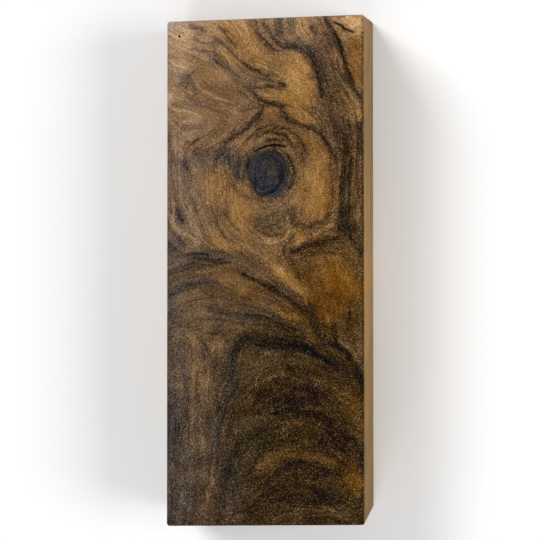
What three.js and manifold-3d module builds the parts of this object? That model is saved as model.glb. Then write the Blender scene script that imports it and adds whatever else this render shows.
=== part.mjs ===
// A stabilized walnut block: one sawn blank of figured walnut, about 130 x 50 x 30 mm, lying on its broad
// back face with the figured face up. Millimetres, +Z up. X runs across the block and Y along it. The origin
// is the middle of the resting face.
import * as THREE from "three";
import { mergeVertices } from "three/addons/utils/BufferGeometryUtils.js";
import Module from "manifold-3d";

// The blank as it was sawn: the two ends run out of square, and the foot is a little wider than the head.
const LENGTH = 130;
const HEAD_WIDTH = 50.4;
const FOOT_WIDTH = 51.3;
const THICKNESS = 30;
const HEAD_RUN_OUT = 1.5; // how much higher the head's right corner is than its left corner
const FOOT_RUN_OUT = 1.2;

// The sanded edges and corners.
const EDGE_RADIUS = 0.4;
const EDGE_STEPS = 3;
const CORNER_RADIUS = 0.7;
const CORNER_STEPS = 4;

// The open checks in the figured face, in face millimetres from its middle. Each is a centre line, its half
// width at each point, and how deep it goes.
const CHECK_FLOOR_SHARE = 0.25; // of the mouth's width that is left at the floor
const KNOT_CHECK = {
  line: [
    [-2.6, 31.15], [-1.6, 31.72], [-0.4, 32.1], [0.6, 32.42], [1.6, 32.66],
    [2.7, 32.72], [3.8, 32.6], [4.7, 32.44], [5.5, 32.2],
  ],
  halfWidths: [0, 0.14, 0.15, 0.17, 0.19, 0.18, 0.16, 0.1, 0],
  depth: 3.5,
};
const CORNER_CHECK = {
  line: [
    [17.6, 63.82], [18.3, 63.45], [18.9, 63.27], [19.5, 62.95], [19.95, 62.5],
    [20.3, 62.02], [20.75, 62.06], [21.25, 61.82], [21.75, 61.48], [22.55, 61.34],
  ],
  halfWidths: [0, 0.1, 0.13, 0.12, 0.16, 0.2, 0.1, 0.12, 0.2, 0],
  depth: 2.5,
};
const PIN_HOLE = { x: -22.05, y: 60.42, radius: 0.33, depth: 2.2, sides: 10 };

const CUT_ABOVE = 1; // how far each cutter stands out of the face, so that it cuts cleanly
const WELD = 1e-4; // corners nearer than this are one corner

const wasm = await Module();
wasm.setup();

// A closed three.js geometry as a manifold solid.
function solidOf(geometry) {
  const bare = new THREE.BufferGeometry();
  bare.setAttribute("position", geometry.getAttribute("position"));
  bare.setIndex(geometry.getIndex());
  const merged = mergeVertices(bare, WELD);
  return new wasm.Manifold(
    new wasm.Mesh({
      numProp: 3,
      vertProperties: new Float32Array(merged.attributes.position.array),
      triVerts: new Uint32Array(merged.index.array),
    }),
  );
}

function geometryOf(solid) {
  const mesh = solid.getMesh();
  const geometry = new THREE.BufferGeometry();
  geometry.setAttribute("position", new THREE.BufferAttribute(mesh.vertProperties, 3));
  geometry.setIndex(new THREE.BufferAttribute(mesh.triVerts, 1));
  geometry.computeVertexNormals();
  return geometry;
}

// The four corners of the broad faces, counter-clockwise from the foot's left. Their box is centred on the
// origin.
function faceCorners() {
  const half = LENGTH / 2;
  const centreY = (HEAD_RUN_OUT - FOOT_RUN_OUT) / 4;
  return [
    [-FOOT_WIDTH / 2, -half - FOOT_RUN_OUT / 2],
    [FOOT_WIDTH / 2, -half + FOOT_RUN_OUT / 2],
    [HEAD_WIDTH / 2, half + HEAD_RUN_OUT / 2],
    [-HEAD_WIDTH / 2, half - HEAD_RUN_OUT / 2],
  ].map(([x, y]) => new THREE.Vector2(x, y - centreY));
}

// The outline of the broad faces, with its four corners rounded.
function faceOutline() {
  const corners = faceCorners();
  const shape = new THREE.Shape();
  corners.forEach((corner, i) => {
    const towards = (other) => other.clone().sub(corner).setLength(CORNER_RADIUS).add(corner);
    const from = towards(corners[(i + corners.length - 1) % corners.length]);
    const to = towards(corners[(i + 1) % corners.length]);
    if (i === 0) {
      shape.moveTo(from.x, from.y);
    } else {
      shape.lineTo(from.x, from.y);
    }
    shape.quadraticCurveTo(corner.x, corner.y, to.x, to.y);
  });
  shape.closePath();
  return shape;
}

// The whole blank, with every edge eased.
function blankSolid() {
  const geometry = new THREE.ExtrudeGeometry(faceOutline(), {
    depth: THICKNESS - 2 * EDGE_RADIUS,
    curveSegments: CORNER_STEPS,
    bevelEnabled: true,
    bevelThickness: EDGE_RADIUS,
    bevelSize: EDGE_RADIUS,
    bevelOffset: -EDGE_RADIUS,
    bevelSegments: EDGE_STEPS,
  });
  geometry.translate(0, 0, EDGE_RADIUS);
  return solidOf(geometry);
}

// The direction across a line of points at one of them.
function across(points, i) {
  const before = points[Math.max(i - 1, 0)];
  const after = points[Math.min(i + 1, points.length - 1)];
  const along = after.clone().sub(before).normalize();
  return new THREE.Vector2(-along.y, along.x);
}

// The point of the centre line nearest to p.
function nearestOn(points, p) {
  let best = points[0];
  for (let i = 0; i + 1 < points.length; i++) {
    const step = points[i + 1].clone().sub(points[i]);
    const share = THREE.MathUtils.clamp(p.clone().sub(points[i]).dot(step) / step.lengthSq(), 0, 1);
    const q = points[i].clone().addScaledVector(step, share);
    if (q.distanceTo(p) < best.distanceTo(p)) best = q;
  }
  return best;
}

// A crack that narrows towards its floor: its outline at the face, drawn in towards the centre line below.
function checkCutter({ line, halfWidths, depth }) {
  const centre = line.map(([x, y]) => new THREE.Vector2(x, y));
  const last = centre.length - 1;
  const inner = centre.slice(1, last);
  const side = (sign) =>
    inner.map((p, i) => p.clone().addScaledVector(across(centre, i + 1), sign * halfWidths[i + 1]));
  const outline = new THREE.Shape([centre[0], ...side(-1), centre[last], ...side(1).reverse()]);
  const geometry = new THREE.ExtrudeGeometry(outline, { depth: depth + CUT_ABOVE, bevelEnabled: false });
  const position = geometry.getAttribute("position");
  for (let i = 0; i < position.count; i++) {
    if (position.getZ(i) > 0) continue; // only the floor is drawn in
    const p = new THREE.Vector2(position.getX(i), position.getY(i));
    const q = nearestOn(centre, p).lerp(p, CHECK_FLOOR_SHARE);
    position.setXY(i, q.x, q.y);
  }
  geometry.translate(0, 0, THICKNESS - depth);
  return solidOf(geometry);
}

// A cone, point down, with the hole's radius where it passes the face.
function pinHoleCutter({ x, y, radius, depth, sides }) {
  const height = depth + CUT_ABOVE;
  const geometry = new THREE.ConeGeometry((radius * height) / depth, height, sides);
  geometry.rotateX(-Math.PI / 2);
  geometry.translate(x, y, THICKNESS + CUT_ABOVE - height / 2);
  return solidOf(geometry);
}

function walnutBlock() {
  const cutters = [checkCutter(KNOT_CHECK), checkCutter(CORNER_CHECK), pinHoleCutter(PIN_HOLE)];
  const solid = cutters.reduce((left, cutter) => left.subtract(cutter), blankSolid());
  const walnut = new THREE.MeshStandardMaterial({ color: 0x6f5235, roughness: 0.5, metalness: 0 });
  const mesh = new THREE.Mesh(geometryOf(solid), walnut);
  mesh.name = "walnut_block";
  return mesh;
}

const part = new THREE.Group();
part.add(walnutBlock());
export default part;
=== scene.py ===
"""A stabilized walnut block: one piece with its figured face, knot, open checks and sawn sides.

Places are in millimetres, x across the block, y along it towards the head and z up from the resting face.
The mesh is made in metres, as the frame is.
"""

import bmesh
import bpy
import numpy as np
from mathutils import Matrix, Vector


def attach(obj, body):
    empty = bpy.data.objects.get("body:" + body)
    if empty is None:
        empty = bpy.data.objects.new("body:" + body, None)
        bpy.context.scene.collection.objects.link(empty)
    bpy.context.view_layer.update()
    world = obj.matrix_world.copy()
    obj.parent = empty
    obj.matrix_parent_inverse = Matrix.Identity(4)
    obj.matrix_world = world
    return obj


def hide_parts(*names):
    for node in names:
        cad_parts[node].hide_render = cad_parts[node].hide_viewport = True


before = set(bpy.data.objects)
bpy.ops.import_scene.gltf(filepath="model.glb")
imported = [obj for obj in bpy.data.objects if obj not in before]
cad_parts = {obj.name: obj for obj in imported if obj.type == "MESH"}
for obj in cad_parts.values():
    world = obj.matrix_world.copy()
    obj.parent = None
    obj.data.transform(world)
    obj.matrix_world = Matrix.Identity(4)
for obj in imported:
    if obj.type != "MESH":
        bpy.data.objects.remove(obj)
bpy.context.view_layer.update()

MM = 0.001
SEED = 41

# The blank as it was sawn, as in the part's source.
LENGTH = 130
HEAD_WIDTH = 50.4
FOOT_WIDTH = 51.3
THICKNESS = 30
HEAD_RUN_OUT = 1.5
FOOT_RUN_OUT = 1.2
EDGE_RADIUS = 0.4
CORNER_RADIUS = 0.7
EDGE_STEPS = 3

# The mesh: cells across and along the figured face, both even. The other faces have cells twice as long.
CELLS_ACROSS = 146
CELLS_ALONG = 374
SIDE_ROWS = 40

# The open checks in the figured face: centre line, half width at each point, and depth.
# Its cutter is this much wider above the face and at its floor.
CHECK_TOP_SHARE = 1.25
CHECK_FLOOR_SHARE = 0.25
CHECK_RAGGED = 0.3
CHECK_STEPS = 4
KNOT_CHECK = {
    "line": [(-2.6, 31.15), (-1.6, 31.72), (-0.4, 32.1), (0.6, 32.42), (1.6, 32.66), (2.7, 32.72),
             (3.8, 32.6), (4.7, 32.44), (5.5, 32.2)],
    "half_widths": [0, 0.14, 0.15, 0.17, 0.19, 0.18, 0.16, 0.1, 0],
    "depth": 3.5,
}
CORNER_CHECK = {
    "line": [(17.6, 63.82), (18.3, 63.45), (18.9, 63.27), (19.5, 62.95), (19.95, 62.5), (20.3, 62.02),
             (20.75, 62.06), (21.25, 61.82), (21.75, 61.48), (22.55, 61.34)],
    "half_widths": [0, 0.1, 0.13, 0.12, 0.16, 0.2, 0.1, 0.12, 0.2, 0],
    "depth": 2.5,
}
PIN_HOLE = {"x": -22.05, "y": 60.42, "radius": 0.33, "depth": 2.2, "sides": 14}
CUT_ABOVE = 1

# The camera, from a fit to the block's six visible corners in the photo.
CAMERA_PLACE = (72.571, 29.661, 618.076)
CAMERA_TURN_DEG = (-2.79293, 6.91338, -0.0096)
LENS_MM = 154.643
SENSOR_MM = 36

# Tones of the wood in daylight, sRGB 0 to 255.
TONES = {
    "ink": (30, 24, 17),
    "night": (33, 36, 43),
    "slate": (53, 47, 41),
    "plum": (62, 46, 36),
    "umber": (44, 30, 17),
    "bark": (72, 53, 35),
    "brown": (90, 65, 38),
    "olive": (92, 71, 44),
    "russet": (116, 79, 44),
    "tan": (126, 96, 66),
    # haze is a pale grey; over the head's left corner it is laid as painted sheen
    "haze": (130, 116, 100),
    "honey": (120, 78, 29),
    "amber": (118, 77, 18),
    "gold": (162, 117, 58),
    "cream": (196, 156, 108),
}
DARK_TONES = ("ink", "night", "slate", "umber", "plum")

# The tone under the figure at heights along the face, from the foot to the head, darker towards the foot.
GROUND_Y = [-60, -36, -18, 6, 32, 62]
GROUND = [(69, 51, 32), (70, 52, 32), (88, 65, 40), (110, 81, 46), (120, 88, 50), (132, 98, 60)]

# Painted sheen and painted shade, mixed with tone: broad paler or darker patches added on top of the tones,
# among them a painted bluish sheen along the left edge and over the head's left corner and edge, and painted
# shade on the left edge: amount (of 255), centre, half sizes.
PAINTED_LIGHT_AND_TONE = [
    ((10, 15, 24), (-28, 0), (8, 90)),
    ((-22, -20, -16), (-26.6, -10), (1.6, 60)),
    ((0, 1, 4), (-9, 22), (18, 46)),
    ((-8, -7, -5), (12, -28), (13, 6)),
    ((-5, -4, -3), (14, -48), (13, 14)),
    ((-3, -4, 3), (14, 57), (6, 5)),
    ((2, 5, 8), (-25, -52), (8, 20)),
    ((-1, -3, -9), (17, -38), (17, 34)),
    ((-1, -2, -2), (16, -4), (10, 10)),
    ((20, 20, 24), (-25, 66), (10, 10)),
    ((9, 8, 6), (-22, 52), (4, 5)),
    ((22, 20, 21), (-14, 64), (8, 6)),
    ((16, 15, 15), (4, 64), (7, 6)),
    ((16, 13, 10), (12, 62), (5, 4)),
    ((12, 10, 8), (-8, 52), (6, 5)),
    ((12, 10, 8), (-17, 41), (9, 10)),
    ((8, 8, 9), (-8, 38), (5, 6)),
    ((6, 8, 12), (-23, 28), (4, 7)),
    ((10, 9, 10), (-13, 17), (8, 9)),
    ((10, 10, 12), (5.5, 19), (3, 3)),
    ((6, 6, 6), (6, 12), (3, 3)),
    ((6, 5, 4), (20, 47), (5, 5)),
    ((6, 7, 7), (0.8, 25.6), (5, 5)),
    ((-16, -12, -4), (19, 35), (5, 4)),
    ((10, 6, 2), (22, 26), (5, 7)),
    ((-9, -8, -4), (13, 9), (5, 4)),
    ((-8, -6, -2), (21, 13), (4, 4)),
    ((8, 6, 5), (-8, 2), (5, 3)),
    ((8, 7, 7), (-8, -12), (4, 4)),
    ((-8, -9, -11), (18, -9), (8, 9)),
    ((-9, -7, -6), (12, -19), (5, 4)),
    ((-5, -4, -3), (4, -28), (6, 5)),
    ((-7, -5, -5), (20, -53), (6, 5)),
    ((-5, -5, -4), (8, -53), (8, 5)),
    ((10, 8, 7), (-19, -63), (5, 3)),
    ((14, 20, 34), (-1, 66.3), (18, 1.6)),
    ((34, 28, 14), (24.8, 65.4), (2, 1.4)),
    ((12, 11, 9), (-24.4, 50.6), (2, 2)),
    ((6, 5, 3), (-17, -44), (6, 12)),
]

# Broad tones: tone, strength, centre, half sizes across and along, turn in degrees, hardness of the edge.
WASHES = [
    # The head
    ("tan", 0.4, (-14, 56), (14, 12), 0, 2),
    # Painted sheen: the grey haze over the head's left corner.
    ("haze", 0.7, (-24, 64.5), (4, 2), 10, 2),
    ("cream", 0.4, (-22.3, 60.5), (2.6, 3.2), 0, 2),
    ("cream", 0.35, (-22.5, 53), (3, 3), -20, 2),
    ("gold", 0.4, (-14, 60), (8, 4), 0, 3),
    ("gold", 0.4, (-8, 63.2), (4, 1.8), 5, 3),
    ("gold", 0.5, (-4.5, 59.0), (4.8, 4.2), 20, 3),
    ("gold", 0.5, (-4, 55), (6, 2.2), -15, 3),
    ("olive", 0.5, (-1, 50.6), (5, 1.8), -5, 3),
    ("brown", 0.3, (-12, 47.6), (7.4, 4), -28, 4),
    ("gold", 0.45, (-15.6, 50.2), (3.6, 2.4), -20, 3),
    ("tan", 0.4, (-13, 48.4), (5, 2.4), -28, 3),
    ("gold", 0.92, (7.7, 50), (3.7, 6.6), 4, 4),
    ("bark", 0.6, (11.4, 51.8), (1.2, 3), 8, 3),
    ("cream", 0.3, (7.4, 49), (2.4, 4.4), 0, 2),
    ("gold", 0.5, (8.8, 44.2), (4, 2), 8, 4),
    ("bark", 0.35, (11.4, 42), (2, 1.2), 0, 3),
    ("gold", 0.5, (3.4, 45.4), (3.0, 1.1), 3, 4),
    ("gold", 0.6, (9.8, 62.5), (2.4, 2.6), 0, 3),
    ("tan", 0.5, (13.4, 62), (2.4, 3.4), 15, 3),
    ("bark", 0.4, (14.8, 53), (2.2, 6), 22, 3),
    ("honey", 0.35, (23.6, 55), (2.6, 7), 14, 3),
    ("gold", 0.4, (24.2, 57), (2, 5), 10, 3),
    ("cream", 0.6, (24.7, 61.2), (1.4, 1.4), 0, 3),
    ("honey", 0.4, (23.2, 57), (1.8, 3), 0, 2),
    ("cream", 0.75, (23.4, 63.4), (3.6, 1.9), -15, 3),
    ("cream", 0.8, (24.8, 64.6), (1.7, 1.4), 0, 3),
    ("bark", 0.4, (20.4, 61.6), (1.4, 1.2), -20, 3),
    ("gold", 0.7, (17.4, 52.8), (0.9, 1.4), 30, 3),
    ("olive", 0.75, (17.4, 46.6), (3.8, 5), 25, 3),
    ("ink", 0.65, (25.2, 34), (0.9, 5), 0, 4),
    ("ink", 0.55, (24.2, 11.2), (1.4, 1.7), 0, 3),
    ("umber", 0.45, (25.2, 5), (0.9, 3), 0, 3),
    ("gold", 0.45, (17.2, 45.4), (1.5, 3.2), 25, 3),
    ("gold", 0.4, (22.2, 51), (1, 2), 25, 3),
    ("cream", 0.6, (-24.4, 44.2), (1.5, 1.3), 0, 3),
    ("olive", 0.7, (17.4, 40), (4.2, 5), 25, 3),
    ("gold", 0.75, (21.8, 43.6), (1.4, 3.2), 32, 3),
    ("gold", 0.4, (23.4, 40.5), (1.3, 2.4), 20, 2),
    # Round the knot
    ("russet", 0.65, (1.5, 40.4), (2.9, 2.7), 0, 3),
    ("gold", 0.55, (1.7, 41.6), (1.8, 1.5), 0, 3),
    ("gold", 0.75, (9.2, 40.6), (3.6, 1.7), -20, 3),
    ("gold", 0.8, (13, 25.6), (3.3, 9.6), 4, 5),
    ("gold", 0.65, (13.4, 18), (4, 4.2), 0, 5),
    ("cream", 0.15, (12.4, 24.5), (1.6, 4), 0, 3),
    ("cream", 0.2, (13.2, 30), (0.8, 3), 8, 3),
    ("honey", 0.6, (16.4, 22), (1.5, 7), 3, 3),
    ("russet", 0.45, (12.8, 32.2), (3.2, 2.6), 0, 3),
    ("bark", 0.55, (10, 30), (1, 1.8), 0, 3),
    ("gold", 0.5, (7.8, 22.4), (1.5, 1.8), -15, 3),
    ("gold", 0.4, (9.4, 26.4), (0.9, 1.6), 0, 3),
    ("gold", 0.4, (10.2, 33.4), (1.4, 0.9), -30, 3),
    ("gold", 0.7, (7.9, 18.6), (1.6, 1.7), 0, 3),
    ("gold", 0.55, (9.3, 24), (1.1, 3.6), 0, 3),
    ("gold", 0.8, (-7.2, 16), (4, 6.6), 15, 4),
    ("brown", 0.4, (-10, 25), (1.2, 2), 5, 3),
    ("gold", 0.65, (-13.6, 22), (3.2, 3.4), 10, 3),
    ("gold", 0.8, (-12, 8.8), (4.6, 1.8), -32, 4),
    ("tan", 0.5, (-19.4, 18), (3.6, 12), 5, 2),
    ("tan", 0.7, (-15.4, 38), (4.4, 2.2), 10, 3),
    ("cream", 0.4, (-18, 39.9), (3.2, 0.8), -8, 3),
    ("slate", 0.5, (-20.2, 27.4), (1.5, 1.8), 0, 3),
    ("slate", 0.45, (-16.2, 28.4), (2, 3.2), -15, 3),
    ("slate", 0.7, (-11.2, 29.9), (2.7, 1.2), 5, 3),
    ("slate", 0.6, (-7.4, 27.4), (1.7, 3), 12, 3),
    ("bark", 0.4, (20, 34), (2.6, 6), 0, 2),
    ("russet", 0.75, (24, 26), (1.5, 9), 0, 4),
    ("gold", 0.4, (23.6, 17), (0.9, 4.4), 0, 3),
    ("olive", 0.8, (0.8, 12.7), (4.3, 3.7), 0, 4),
    ("tan", 0.4, (1, 14.2), (1.7, 1.1), 0, 3),
    ("bark", 0.25, (1.4, 11.6), (2.4, 1.8), 0, 2),
    ("tan", 0.75, (1, 17.2), (3.8, 0.9), 12, 3),
    ("cream", 0.55, (1.5, 8.2), (2.2, 0.8), 5, 3),
    ("gold", 0.3, (1.8, 4.6), (1.6, 4), 8, 3),
    ("gold", 0.4, (8.2, 0), (0.9, 1.4), 0, 3),
    ("gold", 0.9, (9.7, 9.8), (1.4, 1.4), 0, 4),
    ("gold", 0.6, (13.6, 10), (1.2, 0.9), 20, 3),
    ("bark", 0.7, (8.6, 12.9), (2.2, 0.9), -5, 3),
    ("bark", 0.6, (6.4, 15.4), (0.8, 1.8), 10, 3),
    ("slate", 0.25, (-22.2, 14.6), (1.4, 2.2), 0, 3),
    ("slate", 0.5, (-24, 7.4), (2, 2.4), 0, 2),
    # The middle
    ("brown", 0.6, (14, 6.8), (8, 1.2), 5, 3),
    ("honey", 0.8, (15.4, -4), (7, 8.6), 8, 5),
    ("bark", 0.35, (15.6, -2.4), (2.2, 3), 10, 3),
    ("umber", 0.55, (17.4, -12.4), (4.6, 1.4), -4, 3),
    ("bark", 0.5, (14, 3.6), (3.6, 1.1), -8, 3),
    ("amber", 0.65, (20.8, -1.6), (3.6, 5.6), 8, 3),
    ("gold", 0.4, (21.4, -1.6), (1.4, 3.4), 5, 2),
    ("gold", 0.35, (15.6, 4.4), (4.4, 0.8), 0, 3),
    ("bark", 0.4, (11.4, -1.6), (2, 4), 15, 3),
    ("bark", 0.6, (19, -14.6), (6, 2.6), -8, 2),
    ("bark", 0.3, (20, -11), (5, 3), 0, 2),
    ("gold", 0.5, (17.2, -10.3), (0.9, 0.8), 0, 3),
    ("gold", 0.9, (4.4, -0.2), (2.7, 1.8), -35, 4),
    ("gold", 0.85, (7.6, -4), (1.4, 4.4), 38, 4),
    ("cream", 0.3, (3.8, 0.2), (1.6, 1.2), -35, 3),
    ("brown", 0.5, (-5, 3.2), (5, 2), 0, 3),
    ("slate", 0.6, (-15.6, 3.7), (6.4, 1.5), 3, 3),
    ("tan", 0.55, (-10, -2.4), (5.4, 1.7), 8, 3),
    ("russet", 0.4, (-10.6, -2), (3.6, 1.2), 8, 2),
    ("honey", 0.35, (-6, -4.2), (9, 2.2), -10, 2),
    ("gold", 0.6, (-5, -5.8), (2.8, 1.1), -8, 3),
    ("honey", 0.6, (7.2, -10.2), (4, 1.3), -38, 3),
    ("gold", 0.45, (7.2, -9.4), (3.8, 0.9), -40, 3),
    ("honey", 0.8, (11.3, -15.6), (0.7, 1.5), 30, 3),
    ("haze", 0.55, (18.8, -18.4), (2.8, 0.9), -20, 3),
    ("tan", 0.45, (-20, -8), (5, 5), 0, 2),
    ("slate", 0.5, (-24.4, -11.4), (1.6, 2.2), 0, 2),
    ("slate", 0.5, (-12.3, -13.8), (1.4, 0.9), 0, 3),
    ("gold", 0.5, (-19.6, -18), (0.9, 1.8), 5, 3),
    ("tan", 0.55, (-12.6, -18.4), (2.8, 2.2), 0, 3),
    ("gold", 0.2, (-12, -18.4), (1.8, 1.6), 0, 3),
    ("tan", 0.6, (24.4, -21.5), (1.2, 2.6), 20, 3),
    # The foot
    ("umber", 0.5, (6, -32), (13, 8), 0, 3),
    ("umber", 0.45, (4, -54), (18, 10), 0, 3),
    ("ink", 0.7, (3, -18.3), (8.8, 2.5), -5, 4),
    ("ink", 0.65, (14.4, -17.6), (2, 1), -20, 3),
    ("ink", 0.35, (-8.6, -26), (1.9, 6), 3, 3),
    ("brown", 0.7, (-4.6, -21.4), (1.5, 1.5), 0, 3),
    ("tan", 0.45, (-10.4, -21), (1.3, 1.8), 0, 3),
    ("brown", 0.5, (-3, -33), (1.4, 1.2), 0, 3),
    ("tan", 0.5, (24.4, -22.6), (1, 1.8), 10, 3),
    ("brown", 0.6, (-3.4, -25), (2.8, 4), -8, 3),
    ("brown", 0.45, (3, -22.9), (5, 0.7), -5, 3),
    ("umber", 0.65, (5.6, -25), (3.4, 1.1), -12, 3),
    ("umber", 0.55, (9, -28.2), (4.4, 0.9), -6, 3),
    ("umber", 0.7, (18, -30.6), (4, 1), -10, 3),
    ("umber", 0.6, (12, -38.6), (3, 1.2), -3, 3),
    ("brown", 0.6, (20, -32), (5, 3), -5, 3),
    ("honey", 0.5, (22.6, -34), (3, 3), 10, 2),
    ("honey", 0.55, (24.8, -39), (1.0, 3), 5, 3),
    ("umber", 0.5, (3, -32.6), (5, 2.6), 0, 3),
    ("ink", 0.4, (0.6, -33.2), (1.2, 1.2), 0, 3),
    ("ink", 0.4, (7.6, -33.2), (1.2, 1.2), 0, 3),
    ("brown", 0.5, (-6, -33.6), (2.2, 3), -20, 3),
    ("honey", 0.4, (0.4, -48.4), (1.8, 3.4), -38, 3),
    ("brown", 0.7, (12, -47.2), (8, 0.9), -6, 3),
    ("russet", 0.55, (7.2, -38.9), (2, 0.9), 5, 3),
    ("ink", 0.4, (-1.2, -41.6), (3, 1.4), 0, 3),
    ("amber", 0.75, (23, -53.6), (1.8, 3.6), 14, 3),
    ("honey", 0.4, (23.4, -54), (2.6, 5), 14, 2),
    ("olive", 0.6, (10.8, -56.8), (1.8, 1.1), -20, 3),
    ("brown", 0.65, (16.6, -61.2), (5, 1), -3, 3),
    ("brown", 0.5, (4, -62.8), (4, 0.7), 5, 3),
    ("tan", 0.35, (1, -63.2), (1.8, 1), 0, 3),
    ("umber", 0.65, (8, -60.2), (3, 1), 0, 3),
    ("umber", 0.5, (16, -63.8), (4, 0.9), 0, 3),
    ("umber", 0.5, (25.3, -52), (0.8, 3), 0, 3),
    ("umber", 0.4, (25.3, -61), (0.9, 3), 0, 3),
    ("umber", 0.45, (17.6, -53.2), (2.4, 1.2), -20, 3),
    ("tan", 0.5, (-16.8, -28), (2.8, 4.4), 5, 3),
    ("tan", 0.5, (-18, -34.4), (2.2, 3.2), 10, 3),
    ("gold", 0.35, (-22.9, -30), (1.2, 1.4), 10, 3),
    ("gold", 0.3, (-17.6, -27), (2.4, 4.4), 5, 3),
    ("tan", 0.55, (-17.6, -43.4), (2.6, 2.6), 10, 3),
    ("tan", 0.4, (-18.6, -53), (2.6, 2), 20, 2),
    ("russet", 0.55, (-14.6, -56), (1.1, 6), -6, 3),
    ("ink", 0.35, (-8.2, -49.6), (2.2, 4.4), -15, 3),
    ("slate", 0.35, (-9, -57), (3, 7), 0, 3),
    ("slate", 0.35, (-24.8, -46), (1.2, 12), 0, 3),
]

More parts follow.
